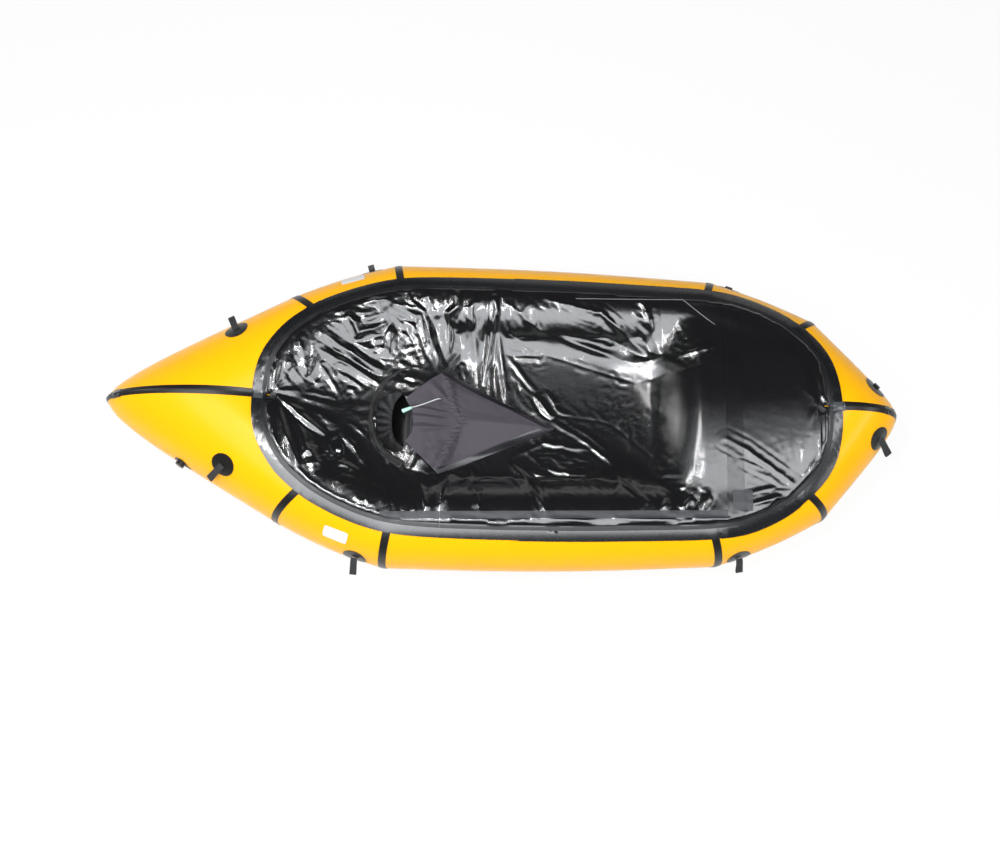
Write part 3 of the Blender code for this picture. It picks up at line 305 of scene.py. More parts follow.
END_FILM = Finish(
    "end_film", (0.006, 0.006, 0.006), (0.010, 0.010, 0.010), 0.12, 0.04, patch_size=0.02, crinkle_size=0.006,
    crinkle_depth=0.0008, specular=0.9)
THREAD = Finish(
    "stitching_thread", (0.30, 0.31, 0.33), (0.40, 0.41, 0.43), 0.5, 0.08, patch_size=0.004, crinkle_size=0.002,
    crinkle_depth=0.0001)
DARK_EDGE = Finish(
    "dark_edge_tape", (0.006, 0.006, 0.0068), (0.009, 0.009, 0.010), 0.42, 0.06, patch_size=0.04,
    crinkle_size=0.012, crinkle_depth=0.0001, specular=0.45)
HEM_GREY = Finish(
    "grey_hem_tape", (0.030, 0.031, 0.035), (0.045, 0.047, 0.053), 0.5, 0.08, patch_size=0.02, thread_size=0.001,
    thread_depth=0.0001, space=Space.FABRIC)
TUNNEL_NYLON = Finish(
    "tunnel_nylon", (0.0060, 0.0050, 0.0085), (0.009, 0.008, 0.012), 0.37, 0.05, patch_size=0.04,
    thread_size=0.0008, thread_depth=0.000012, specular=0.8, space=Space.FABRIC)
TUNNEL_TAPE = Finish(
    "tunnel_seam_tape", (0.011, 0.0105, 0.014), (0.015, 0.014, 0.018), 0.40, 0.05, patch_size=0.04,
    thread_size=0.0008, thread_depth=0.000012, specular=0.8, space=Space.FABRIC)
# The tunnel's back: a darker copy of the tunnel nylon, painted shade for the rear of the tunnel, which stands in shadow
BACK_NYLON_SHADED = Finish(
    "tunnel_back_fabric_shaded", (0.0022, 0.0022, 0.0025), (0.004, 0.004, 0.0045), 0.5, 0.1, patch_size=0.03,
    crinkle_size=0.012, crinkle_depth=0.0009, thread_size=0.001, thread_depth=0.00005, specular=0.35)
WEBBING = Finish(
    "black_webbing", (0.008, 0.008, 0.009), (0.015, 0.015, 0.016), 0.6, 0.08, patch_size=0.01, thread_size=0.0016,
    thread_depth=0.0003, sheen=0.1)
LABEL_WHITE = Finish(
    "bare_label", (0.74, 0.74, 0.73), (0.68, 0.68, 0.67), 0.45, 0.08, patch_size=0.02, thread_size=0.0008,
    thread_depth=0.00004)
CORD_WHITE = Finish(
    "white_cord", (0.72, 0.74, 0.73), (0.60, 0.63, 0.62), 0.6, 0.08, patch_size=0.004, thread_size=0.0007,
    thread_depth=0.0002)
PULL_MINT = Finish(
    "mint_pull", (0.42, 0.78, 0.62), (0.50, 0.84, 0.70), 0.3, 0.06, patch_size=0.01, crinkle_size=0.004,
    crinkle_depth=0.0001)
BLACK_PLASTIC = Finish(
    "black_moulded_plastic", (0.009, 0.009, 0.009), (0.014, 0.014, 0.014), 0.35, 0.08, patch_size=0.01,
    crinkle_size=0.002, crinkle_depth=0.00005)
FLOOR_COATED = Finish(
    "floor_coated_fabric", (0.012, 0.012, 0.013), (0.02, 0.02, 0.022), 0.45, 0.1, patch_size=0.1, crinkle_size=0.04,
    crinkle_depth=0.0008, thread_size=0.0016, thread_depth=0.00008)
SEAT_COATED = Finish(
    "seat_coated_fabric", (0.016, 0.016, 0.018), (0.025, 0.025, 0.027), 0.4, 0.08, patch_size=0.05,
    crinkle_size=0.02, crinkle_depth=0.0006, thread_size=0.0012, thread_depth=0.00006)


class Bench:
    """Modelling steps that every piece shares."""

    @staticmethod
    def deselect() -> None:
        """Leave edit mode and select nothing."""
        if bpy.context.object is not None and bpy.context.object.mode != "OBJECT":
            bpy.ops.object.mode_set(mode="OBJECT")
        bpy.ops.object.select_all(action="DESELECT")

    @staticmethod
    def take(obj: Piece) -> None:
        """Make one object the only one selected.

        Args:
            obj: The object to select.
        """
        Bench.deselect()
        obj.select_set(True)
        bpy.context.view_layer.objects.active = obj

    @staticmethod
    @contextmanager
    def editing(obj: Piece) -> Iterator[None]:
        """Hold an object in edit mode with all of it selected.

        Args:
            obj: The object to edit.

        Yields:
            Nothing, while the object is in edit mode.
        """
        Bench.take(obj)
        bpy.ops.object.mode_set(mode="EDIT")
        bpy.ops.mesh.select_all(action="SELECT")
        yield
        bpy.ops.object.mode_set(mode="OBJECT")

    @staticmethod
    def grid(name: str, columns: int, rows: int, where: Callable[[float, float], Vector],
             welded: bool = False) -> Piece:
        """Lay a grid out as a sheet.

        Args:
            name: the object's name.
            columns: cells along u.
            rows: cells along v.
            where: the place of a point from its u and v, each from 0 to 1.
            welded: whether the edges meet, as in a tube.

        Returns:
            The object, with u and v kept in its UV map.
        """
        Bench.deselect()
        bpy.ops.mesh.primitive_grid_add(x_subdivisions=columns, y_subdivisions=rows, size=2, location=(0, 0, 0))
        obj = bpy.context.object
        obj.name = obj.data.name = name
        for vertex in obj.data.vertices:
            vertex.co = where((vertex.co.x + 1) / 2, (vertex.co.y + 1) / 2)
        if welded:
            with Bench.editing(obj):
                bpy.ops.mesh.remove_doubles(threshold=ROLL_WELD)
        return obj

    @staticmethod
    def outwards(obj: Piece) -> None:
        """Turn a closed shape's faces outwards."""
        with Bench.editing(obj):
            bpy.ops.mesh.normals_make_consistent(inside=False)

    @staticmethod
    def modify(obj: Piece, kind: str, **settings) -> None:
        """Add a modifier with its settings and apply it.

        Args:
            obj: The object to change.
            kind: The modifier's type.
            **settings: The modifier's values by name.
        """
        Bench.take(obj)
        modifier = obj.modifiers.new(kind.lower(), kind)
        for name, value in settings.items():
            setattr(modifier, name, value)
        bpy.ops.object.modifier_apply(modifier=modifier.name)

    @staticmethod
    def smooth(obj: Piece, degrees: float = 50) -> None:
        """Shade an object smooth, sharp over an angle."""
        Bench.take(obj)
        bpy.ops.object.shade_smooth_by_angle(angle=math.radians(degrees), keep_sharp_edges=True)

    @staticmethod
    def thicken(obj: Piece, thickness: float, offset: int, degrees: float, soften: int = 0,
                closed: bool = True) -> None:
        """Round a sheet off, give it its thickness and shade it.

        Args:
            obj: the sheet.
            thickness: how thick it gets.
            offset: which way it grows: 1 out, -1 in, 0 both.
            degrees: the angle over which its edges stay sharp.
            soften: how many rounds it is rounded off first.
            closed: whether its faces are turned outwards.
        """
        if soften:
            Bench.modify(obj, "SMOOTH", factor=0.5, iterations=soften)
        Bench.modify(obj, "SOLIDIFY", thickness=thickness, offset=offset)
        if closed:
            Bench.outwards(obj)
        Bench.smooth(obj, degrees)

    @staticmethod
    def scale_fabric(obj: Piece, across: float, along: float) -> None:
        """Give a piece's UV map its real size in metres."""
        for corner in obj.data.uv_layers.active.data:
            corner.uv = (corner.uv.x * across, corner.uv.y * along)

    @staticmethod
    def plan_fabric(obj: Piece) -> None:
        """Lay a piece's UV map flat from above, in metres.

        Args:
            obj: The piece to map.
        """
        mesh = obj.data
        layer = mesh.uv_layers.active or mesh.uv_layers.new(name="fabric")
        for loop in mesh.loops:
            spot = mesh.vertices[loop.vertex_index].co
            layer.data[loop.index].uv = (spot.x, spot.y)

    @staticmethod
    def dress(obj: Piece, finish: Finish, body: str, slot: str, node: str | None = None) -> Piece:
        """Give a piece its finish and the body that it rides on.

        Args:
            obj: the piece.
            finish: its finish.
            body: the frame's body.
            slot: the record's material slot; not used.
            node: the CAD node that it stands for, if any.

        Returns:
            The piece.
        """
        obj.data.materials.clear()
        obj.data.materials.append(finish.build())
        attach(obj, body)
        if node is not None:
            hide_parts(node)
        LOG.info("%s: %d faces, rides on %s", obj.name, len(getattr(obj.data, "polygons", ())), body)
        return obj

    @staticmethod
    def copy_node(frame: dict, node: str, name: str) -> Piece:
        """Return a merged copy of a CAD node, standing at the origin.

        Args:
            frame: The loaded frame.
            node: Name of the CAD node.
            name: Name of the copy.

        Returns:
            The copy.
        """
        source = frame["nodes"][node]
        mesh = source.data.copy()
        mesh.transform(source.matrix_world)
        mesh.name = name
        obj = bpy.data.objects.new(name, mesh)
        bpy.context.scene.collection.objects.link(obj)
        with Bench.editing(obj):
            bpy.ops.mesh.remove_doubles(threshold=NODE_WELD)
        return obj

    @staticmethod
    def twin(obj: Piece, name: str) -> Piece:
        """Return a copy of an object with a mesh of its own.

        Args:
            obj: The object to copy.
            name: Name of the copy.

        Returns:
            The copy.
        """
        copy = obj.copy()
        copy.data = obj.data.copy()
        copy.name = copy.data.name = name
        bpy.context.scene.collection.objects.link(copy)
        return copy

    @staticmethod
    def delete(obj: Piece, pick: Callable[[bmesh.types.BMesh], list], context: str = "FACES") -> None:
        """Delete the faces or vertices that a function picks.

        Args:
            obj: The object to cut.
            pick: Gives the parts to delete from the open mesh.
            context: What kind of parts they are.
        """
        shape = bmesh.new()
        shape.from_mesh(obj.data)
        shape.normal_update()
        bmesh.ops.delete(shape, geom=pick(shape), context=context)
        shape.to_mesh(obj.data)
        shape.free()

    @staticmethod
    def keep_faces(obj: Piece, keep: Callable[[bmesh.types.BMFace], bool]) -> None:
        """Delete the faces that a test doesn't keep."""
        Bench.delete(obj, lambda shape: [f for f in shape.faces if not keep(f)])

    @staticmethod
    def subdivide(obj: Piece, cuts: int) -> None:
        """Cut every face of an object into smaller ones.

        Args:
            obj: The object to divide.
            cuts: Number of cuts in every edge.
        """
        with Bench.editing(obj):
            bpy.ops.mesh.tris_convert_to_quads()
            bpy.ops.mesh.subdivide(number_cuts=cuts, smoothness=0)

    @staticmethod
    def plan(obj: Piece) -> np.ndarray:
        """Return an object's vertices in plan, one to a row."""
        return np.array([v.co.xy for v in obj.data.vertices])

    @staticmethod
    def raise_to(obj: Piece, heights: Iterable[float]) -> None:
        """Set the height of every vertex."""
        for vertex, z in zip(obj.data.vertices, heights):
            vertex.co.z = z

    @staticmethod
    def area(obj: Piece) -> float:
        """Return the area of an object's faces."""
        return sum(p.area for p in obj.data.polygons)

    @staticmethod
    def corners(obj: Piece) -> tuple[Vector, Vector]:
        """Return the lowest and highest corner of an object's mesh."""
        spots = [v.co for v in obj.data.vertices]
        return Vector(map(min, *spots)), Vector(map(max, *spots))

    @staticmethod
    def declare(obj: Piece, area: float, corners: tuple[Vector, Vector], held: str, **rest) -> None:
        """Take a sheet with the flat size that it was cut to, and do nothing with it.

        Args:
            obj: the sheet; not used.
            area: its area; not used.
            corners: its lowest and highest corner; not used.
            held: how it is held; not used.
            rest: what else is said of it; not used.
        """

    @staticmethod
    def simulate(obj: Piece, pinned: Iterable[int], frames: int, rules: dict, contact: dict,
                 gravity: float = 1.0) -> None:
        """Run a piece as cloth and keep the shape that it comes to.

        Args:
            obj: the piece.
            pinned: the vertices that don't move.
            frames: how long it runs.
            rules: the cloth's settings.
            contact: its collision settings.
            gravity: the share of gravity that it feels.
        """
        held = obj.vertex_groups.new(name="held")
        for index in pinned:
            held.add([int(index)], 1.0, "REPLACE")
        cloth = obj.modifiers.new("cloth", "CLOTH")
        cloth.settings.vertex_group_mass = held.name
        cloth.settings.effector_weights.gravity = gravity
        for target, values in ((cloth.settings, rules), (cloth.collision_settings, contact)):
            for name, value in values.items():
                setattr(target, name, value)
        cloth.point_cache.frame_start = 1
        cloth.point_cache.frame_end = frames
        scene = bpy.context.scene
        for frame in range(1, frames + 1):
            scene.frame_set(frame)
        Bench.take(obj)
        bpy.ops.object.modifier_apply(modifier=cloth.name)
        scene.frame_set(1)

    @staticmethod
    def swept(name: str, line: Sequence[Vector], radii: Sequence[float], around: int = 14) -> Piece:
        """Return a closed tube swept along a line with a radius at every point.

        Args:
            name: Name of the tube.
            line: Its centre line.
            radii: Its radius at each point of the line.
            around: Number of faces round it.

        Returns:
            The tube.
        """
        def where(u: float, v: float) -> Vector:
            """Return a point of the tube's wall.

            Args:
                u: Share of the way along the line.
                v: Share of the way round it.

            Returns:
                The point in metres.
            """
            place = u * (len(line) - 1)
            index = min(int(place), len(line) - 2)
            part = place - index
            middle = line[index].lerp(line[index + 1], part)
            run = (line[min(index + 2, len(line) - 1)] - line[max(index - 1, 0)]).normalized()
            across = run.cross(UP).normalized()
            rise = across.cross(run)
            radius = radii[index] + (radii[index + 1] - radii[index]) * part
            angle = math.tau * v
            return middle + across * radius * math.cos(angle) + rise * radius * math.sin(angle)

        tube = Bench.grid(name, len(line) - 1, around, where, welded=True)
        Bench.outwards(tube)
        Bench.smooth(tube, 60)
        return tube

    @staticmethod
    def tree(objects: Iterable[Piece]) -> BVHTree:
        """Return a search tree over the faces of objects that stand at the origin.

        Args:
            objects: The objects to search.

        Returns:
            The search tree.
        """
        points, faces = [], []
        for obj in objects:
            first = len(points)
            points += [v.co.copy() for v in obj.data.vertices]
            faces += [[first + i for i in p.vertices] for p in obj.data.polygons]
        return BVHTree.FromPolygons(points, faces)

    @staticmethod
    def drop(tree: BVHTree, x: float, y: float) -> float | None:
        """Return the height of the first surface met from above, or None."""
        hit = tree.ray_cast(Vector((x, y, 1)), -UP)[0]
        return None if hit is None else hit.z

    @staticmethod
    def top(tree: BVHTree, x: float, y: float) -> float:
        """Return the height of the first surface met from above, or the deck's usual one."""
        found = Bench.drop(tree, x, y)
        return DECK_LEVEL if found is None else found

    @staticmethod
    def bridge(tree: BVHTree, x: float, y: float, level: float) -> float:
        """Return the height met from above, or over an opening that of the surface nearest to a level."""
        found = Bench.drop(tree, x, y)
        return found if found is not None else tree.find_nearest(Vector((x, y, level)))[0].z


def ease(value: float) -> float:
    """Return 0 to 1 on a smooth step."""
    value = min(max(value, 0.0), 1.0)
    return value * value * (3 - 2 * value)


def ease_all(values: np.ndarray) -> np.ndarray:
    """Return 0 to 1 on a smooth step for every value."""
    values = np.clip(values, 0.0, 1.0)
    return values * values * (3 - 2 * values)


@dataclass(frozen=True)
class Seam:
    """One seam, in shares of half length, half track, tube radius and end rise, with its turn in degrees."""

    along: float
    across: float
    girth: float
    rise: float
    turn: float


@dataclass
class Hull:
    """The ten air tube panels, inflated between their seams."""

    tube_radius: float = 0.141
    base: float = 0.0015
    bow_rise: float = 0.075
    stern_rise: float = 0.020
    pucker: float = 0.0011
    pucker_reach: float = 0.045
    round_steps: int = 96
    step_length: float = 0.012
    seam_gap: float = 0.0003
    full_from: float = 0.020
    fullness: Sequence[float] = (0.027, 0.011, 0.012, 0.010, 0.016)
    seams: Sequence[Seam] = (
        Seam(-0.743, 0.0, 1.170, 1.00, -90.0),
        Seam(-0.4527, 0.746, 1.092, 0.0, -50.0),
        Seam(-0.2521, 1.0, 1.0, 0.0, -13.0),
        Seam(0.510, 0.931, 0.993, 0.0, 21.0),
        Seam(0.7206, 0.665, 0.986, 0.40, 55.0),
        Seam(0.8574, 0.0, 0.986, 1.00, 90.0),
    )
    panels: Sequence[str] = ("tube_stern", "tube_stern_quarter", "tube_side", "tube_bow_quarter", "tube_bow")
    tubes: list[Piece] = field(default_factory=list)

    def seam_point(self, index: int, degrees: float, out: float = 0.0) -> Vector:
        """Return a port seam's point at an angle from its crest.

        Args:
            index: the seam, from the stern.
            degrees: the angle, outboard positive.
            out: how far off the tube.

        Returns:
            The point.
        """
        seam = self.seams[index]
        lift = (self.stern_rise if seam.along < 0 else self.bow_rise) * seam.rise
        high = self.tube_radius * seam.girth
        wide = HALF_LENGTH * (1 - abs(seam.along)) if seam.across == 0 else high
        track = HALF_BEAM - self.tube_radius
        centre = Vector((HALF_LENGTH * seam.along, track * seam.across, self.base + lift + high))
        turn, angle = math.radians(seam.turn), math.radians(degrees)
        side = Vector((math.sin(turn), math.cos(turn), 0))
        return centre + side * math.sin(angle) * (wide + out) + UP * math.cos(angle) * (high + out)

    def tube_point(self, panel: int, share: float, degrees: float, side: int, out: float = 0.0) -> Vector:
        """Return a panel's point, part way along it and round it, on either side.

        Args:
            panel: Number of the panel, counted from the stern.
            share: Share of the way along it.
            degrees: Turn round the tube.
            side: Sign of the side.
            out: How far the point swells outwards, in metres.

        Returns:
            The point in metres.
        """
        point = self.seam_point(panel, degrees, out).lerp(self.seam_point(panel + 1, degrees, out), share)
        point += self.full(panel, share, degrees)
        return Vector((point.x, point.y * side, point.z))

    def full(self, panel: int, share: float, degrees: float) -> Vector:
        """Return how far a panel's outboard side swells past the straight run between its seams.

        Args:
            panel: Number of the panel, counted from the stern.
            share: Share of the way along it.
            degrees: Turn round the tube.

        Returns:
            The swell in metres.
        """
        run = self.seam_point(panel + 1, 90) - self.seam_point(panel, 90)
        along = share
        if panel == 0:
            along = max((share - self.full_from) / (1 - self.full_from), 0.0) ** 0.5
        elif panel == len(self.panels) - 1:
            along = max((1 - share - self.full_from) / (1 - self.full_from), 0.0) ** 0.5
        round_share = max(math.sin(math.radians(degrees)), 0.0) ** 2
        reach = self.fullness[panel] * round_share * math.sin(math.pi * along)
        return Vector((-run.y, run.x, 0)).normalized() * reach

    def panel_length(self, panel: int) -> float:
        """Return the length of a panel along its crest."""
        return (self.seam_point(panel + 1, 0) - self.seam_point(panel, 0)).length

    def swell(self, panel: int, share: float, degrees: float, side: int) -> float:
        """Return how far the fabric stands off the plain tube, with puckers at both seams.

        Args:
            panel: the panel, from the stern.
            share: how far along it.
            degrees: how far round it.
            side: port or starboard.

        Returns:
            The distance, outwards.
        """
        length = self.panel_length(panel)
        total = 0.0
        for end, away in ((panel, share * length), (panel + 1, (1 - share) * length)):
            fade = math.exp(-(away / self.pucker_reach) ** 1.5)
            spot = Vector((end * 7.3, side * 3.1, degrees / 9))
            ripple = noise.noise(spot) + 0.5 * noise.noise(spot * 2.3)
            inside = 0.6 - 0.4 * math.sin(math.radians(degrees))
            total += self.pucker * fade * ripple * inside * ease(away / 0.006)
        return total

    def build(self) -> None:
        """Build the ten air tube panels as inflated skins."""
        for panel, name in enumerate(self.panels):
            length = self.panel_length(panel)
            trim = self.seam_gap / length
            for side_name, side in SIDES.items():
                def where(u: float, v: float) -> Vector:
                    """Return a point of the panel's skin.

                    Args:
                        u: Share of the way along the panel.
                        v: Share of a turn round the tube.

                    Returns:
                        The point, kept clear of the boat's middle plane.
                    """
                    share, degrees = trim + (1 - 2 * trim) * u, 360 * v
                    out = self.swell(panel, share, degrees, side)
                    point = self.tube_point(panel, share, degrees, side, out)
                    if abs(point.y) < self.seam_gap:
                        point.y = self.seam_gap * side
                    return point
                columns = max(int(length / self.step_length), 8)
                tube = Bench.grid(f"{name}_{side_name}_skin", columns, self.round_steps, where, welded=True)
                Bench.scale_fabric(tube, length, math.tau * self.tube_radius)
                Bench.outwards(tube)
                Bench.smooth(tube)
                Bench.dress(tube, YELLOW_COATED, HULL_BODY, "tube_fabric", f"{name}_{side_name}")
                self.tubes.append(tube)


@dataclass
class LaidTrim:
    """Thin trim that follows the surface that it lies on, made from the frame's own solids."""

    frame: dict
    tree: BVHTree
    lift: float = 0.0004
    thickness: float = 0.0007
    cuts: int = 3
    from_above: bool = False
    relax: int = 0

    def _is_outer(self, face: bmesh.types.BMFace) -> bool:
        """Return whether a face looks away from what it lies on."""
        normal = UP if self.from_above else self.tree.find_nearest(face.calc_center_median())[1]
        return normal is not None and face.normal.dot(normal) >= 0.5

    def make(self, node: str, finish: Finish, slot: str, lift: float | None = None) -> Piece:
        """Make one piece of laid trim.

        Args:
            node: the CAD node that it stands for.
            finish: its finish.
            slot: the record's material slot.
            lift: how far off the surface, where it isn't the usual.

        Returns:
            The piece.
        """
        obj = Bench.copy_node(self.frame, node, f"{node}_laid")
        Bench.keep_faces(obj, self._is_outer)
        Bench.subdivide(obj, self.cuts)
        off = self.lift if lift is None else lift
        for vertex in obj.data.vertices:
            height = Bench.drop(self.tree, *vertex.co.xy) if self.from_above else None
            if height is not None:
                vertex.co.z = height + off
                continue
            spot, normal = self.tree.find_nearest(vertex.co)[:2]
            vertex.co = spot + normal * off
        Bench.thicken(obj, self.thickness, 1, 40, self.relax, closed=False)
        Bench.plan_fabric(obj)
        return Bench.dress(obj, finish, HULL_BODY, slot, node)


@dataclass
class SeamTapes:
    """The tapes over the seams between the air tubes, from under the deck band down to the floor."""

    hull: Hull
    skins: BVHTree
    lift: float = 0.0006
    thickness: float = 0.0008
    rows: int = 8
    end_half_width: float = 0.0140
    end_stop: float = 152.0
    end_columns: int = 120
    ends: Sequence[tuple[int, str, int, float]] = ((0, "stern", 1, -36.0), (5, "bow", -1, -14.0))
    mitre_half_width: float = 0.0122
    mitre_reach: Pair = (-26.0, 148.0)
    mitre_columns: int = 90
    mitres: Sequence[tuple[int, str]] = ((1, "stern_quarter"), (2, "aft_side"), (3, "forward_side"), (4, "bow_quarter"))

    def build_ends(self) -> None:
        """Build the tapes over the upright seams at the stern and the bow."""
        for seam, name, side, start in self.ends:
            self._lay(seam, name, side, (start, self.end_stop), self.end_half_width, self.end_columns)

    def build_mitres(self) -> None:
        """Build the tapes over the mitre seams of both sides."""
        for seam, name in self.mitres:
            for side_name, side in SIDES.items():
                self._lay(seam, f"{name}_{side_name}", side, self.mitre_reach, self.mitre_half_width,
                          self.mitre_columns)

    def _lay(self, seam: int, name: str, side: int, reach: Pair, half_width: float,
             columns: int) -> None:
        """Lay one tape.

        Args:
            seam: the seam, from the stern.
            name: the end of the tape's name.
            side: port or starboard.
            reach: its first and last angle from the crest.
            half_width: half its width.
            columns: cells along it.
        """
        turn = math.radians(self.hull.seams[seam].turn)
        across = Vector((math.cos(turn), -math.sin(turn) * side, 0))

        def where(u: float, v: float) -> Vector:
            """Return a point of the tape.

            Args:
                u: Share of the way along the seam.
                v: Share of the way across the tape.

            Returns:
                The point, lifted off the skins.
            """
            spot = self.hull.seam_point(seam, reach[0] + (reach[1] - reach[0]) * u)
            spot.y *= side
            near, normal = self.skins.find_nearest(spot + across * (2 * v - 1) * half_width)[:2]
            return near + normal * self.lift

        node = f"seam_tape_{name}"
        tape = Bench.grid(f"{node}_laid", columns, self.rows, where)
        Bench.thicken(tape, self.thickness, 0, 40, 2)
        Bench.dress(tape, BLACK_TAPE, HULL_BODY, "tape_fabric", node)


@dataclass
class LaidPatch:
    """A small sheet laid on what is under it, with a slightly crumpled face."""

    tree: BVHTree
    low: Pair
    high: Pair
    lift: float = 0.0012
    bump: float = 0.0006
    bump_size: float = 0.008
    thickness: float = 0.0006
    cells: int = 14

    def build(self, name: str, finish: Finish, slot: str) -> None:
        """Build the patch.

        Args:
            name: Name of the piece.
            finish: Look of the piece.
            slot: Its material slot.
        """
        def where(u: float, v: float) -> Vector:
            """Return a point of the patch.

            Args:
                u: Share of its length.
                v: Share of its width.

            Returns:
                The point, lifted off the cloth under it.
            """
            x = self.low[0] + (self.high[0] - self.low[0]) * u
            y = self.low[1] + (self.high[1] - self.low[1]) * v
            bump = self.bump * (1 + noise.noise(Vector((x, y, 0.4)) / self.bump_size))
            return Vector((x, y, Bench.top(self.tree, x, y) + self.lift + bump))

        patch = Bench.grid(name, self.cells, self.cells, where)
        Bench.thicken(patch, self.thickness, -1, 45)
        Bench.dress(patch, finish, HULL_BODY, slot)


@dataclass
class LaidLine:
    """A thin raised line, such as a welded edge or a stitch, that follows what is under it."""

    tree: BVHTree
    radius: float = 0.0014
    step: float = 0.006
    around: int = 8

    def _spot(self, x: float, y: float) -> Vector:
        """Return the line's middle over a plan point."""
        return Vector((x, y, Bench.top(self.tree, x, y) + self.radius * 0.5))

    def run(self, points: Sequence[Pair]) -> list[Vector]:
        """Return the line's middle over plan points.

        Args:
            points: Plan points along the line.

        Returns:
            The middle of the line over each of them.
        """
        out = []
        for (ax, ay), (bx, by) in zip(points, points[1:]):
            count = max(int(math.dist((ax, ay), (bx, by)) / self.step), 2)
            out += [self._spot(ax + (bx - ax) * i / count, ay + (by - ay) * i / count) for i in range(count)]
        return out + [self._spot(*points[-1])]

    def build(self, name: str, lines: Iterable[Sequence[Pair]], finish: Finish, slot: str,
              body: str = HULL_BODY) -> None:
        """Build one piece of one or more lines.

        Args:
            name: Name of the piece.
            lines: Plan points of each line.
            finish: Look of the piece.
            slot: Its material slot.
            body: The body that it rides on.
        """
        parts = []
        for points in lines:
            line = self.run(points)
            radii = [CLOSED] + [self.radius] * (len(line) - 2) + [CLOSED]
            parts.append(Bench.swept(name, line, radii, self.around))
        piece = parts[0]
        Bench.take(piece)
        for part in parts:
            part.select_set(True)
        if len(parts) > 1:
            bpy.ops.object.join()
        piece.name = name
        Bench.dress(piece, finish, body, slot)


@dataclass(frozen=True)
class Hang:
    """How one webbing loop hangs: its place, reach, turn and droop in degrees."""

    name: str
    length: float
    turn: float
    droop: float


@dataclass
class TieLoops:
    """The webbing loops, each sewn down at its root and hanging by its own weight."""

    frame: dict
    skins: BVHTree
    width: float = 0.020
    webbing: float = 0.0014
    eye: float = 0.0030
    stand: float = 0.0038
    steps: int = 22
    tip_steps: int = 8
    droop_span: Pair = (-0.15, 0.6)
    eye_span: Pair = (0.35, 0.6)
    section: Sequence[Pair] = (
        (-1, -0.7), (-0.9, -1), (0.9, -1), (1, -0.7), (1, 0.7), (0.9, 1), (-0.9, 1), (-1, 0.7), (-1, -0.7),
    )
    hangs: Sequence[Hang] = (
        Hang("stern_port", 0.049, 0.0, 24), Hang("stern_starboard", 0.056, 19.0, 26),
        Hang("aft_quarter_port", 0.047, 0.0, 50), Hang("aft_quarter_starboard", 0.048, -13.0, 30),
        Hang("bow_quarter_port", 0.047, 0.0, 72), Hang("bow_quarter_starboard", 0.048, -9.0, 50),
        Hang("bow_port", 0.047, 0.0, 74), Hang("bow_starboard", 0.056, -11.0, 32),
    )

    def build(self) -> None:
        """Build every loop."""
        for hang in self.hangs:
            self._loop(hang)

    def _loop(self, hang: Hang) -> None:
        """Build one loop from the root, out over the eye at its tip and back.

        Args:
            hang: How the loop hangs.
        """
        root, out = self._root(hang)
        centre = [root]
        step = hang.length / self.steps
        for index in range(self.steps):
            share = ((index + 1) / self.steps - self.droop_span[0]) / self.droop_span[1]
            angle = math.radians(hang.droop) * ease(share)
            centre.append(centre[-1] + (out * math.cos(angle) - UP * math.sin(angle)) * step)
        side = out.cross(UP).normalized()
        front, back = [], []
        for index, spot in enumerate(centre):
            run = (centre[min(index + 1, self.steps)] - centre[max(index - 1, 0)]).normalized()
            rise = side.cross(run)
            share = (index / self.steps - self.eye_span[0]) / self.eye_span[1]
            gap = self.webbing * 0.55 + self.eye * ease(share)
            front.append(spot + rise * gap)
            back.append(spot - rise * gap)
        half = (front[-1] - back[-1]) / 2
        turns = [math.pi * index / self.tip_steps for index in range(1, self.tip_steps)]
        round_tip = [centre[-1] + half * math.cos(turn) + run * half.length * math.sin(turn) for turn in turns]
        name = f"tie_loop_{hang.name}"
        strap = self._strap(f"{name}_webbing", front + round_tip + back[::-1], side)
        Bench.dress(strap, WEBBING, f"loop_{hang.name}", "webbing", name)

    def _root(self, hang: Hang) -> tuple[Vector, Vector]:
        """Return where a loop is sewn down and which way it leaves.

        Args:
            hang: How the loop hangs.

        Returns:
            The place and the direction.
        """
        low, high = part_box(f"tie_loop_{hang.name}")
        joint = next(j for j in self.frame["joints"] if j["name"] == f"loop_swing_{hang.name}")
        pivot, axis = Vector(joint["pos_m"]), Vector(joint["axis"])
        out = UP.cross(axis).normalized()
        if out.dot((low + high) / 2 - pivot) < 0:
            out = -out
        end = Vector((math.copysign(1, pivot.x), 0, 0))
        turn = math.radians(math.copysign(hang.turn, out.cross(end).z * (hang.turn or 1)))
        near, normal = self.skins.find_nearest(pivot)[:2]
        return near + normal * self.stand, Matrix.Rotation(turn, 3, "Z") @ out

    def _strap(self, name: str, line: Sequence[Vector], side: Vector) -> Piece:
        """Sweep the webbing's flat section along a line.

        Args:
            name: Name of the piece.
            line: Centre line of the webbing.
            side: Direction across its width.

        Returns:
            The webbing.
        """
        section = self.section

        def where(u: float, v: float) -> Vector:
            """Return a point of the webbing.

            Args:
                u: Share of the way along the line.
                v: Share of the way round the section.

            Returns:
                The point in metres.
            """
            place = u * (len(line) - 1)
            index = min(int(round(place)), len(line) - 1)
            run = (line[min(index + 1, len(line) - 1)] - line[max(index - 1, 0)]).normalized()
            rise = side.cross(run)
            a, b = section[min(int(round(v * (len(section) - 1))), len(section) - 1)]
            return line[index] + side * a * self.width / 2 + rise * b * self.webbing / 2

        strap = Bench.grid(name, len(line) - 1, len(section) - 1, where, welded=True)
        with Bench.editing(strap):
            bpy.ops.mesh.region_to_loop()
            bpy.ops.mesh.fill_holes(sides=0)
        Bench.outwards(strap)
        Bench.smooth(strap, 35)
        return strap


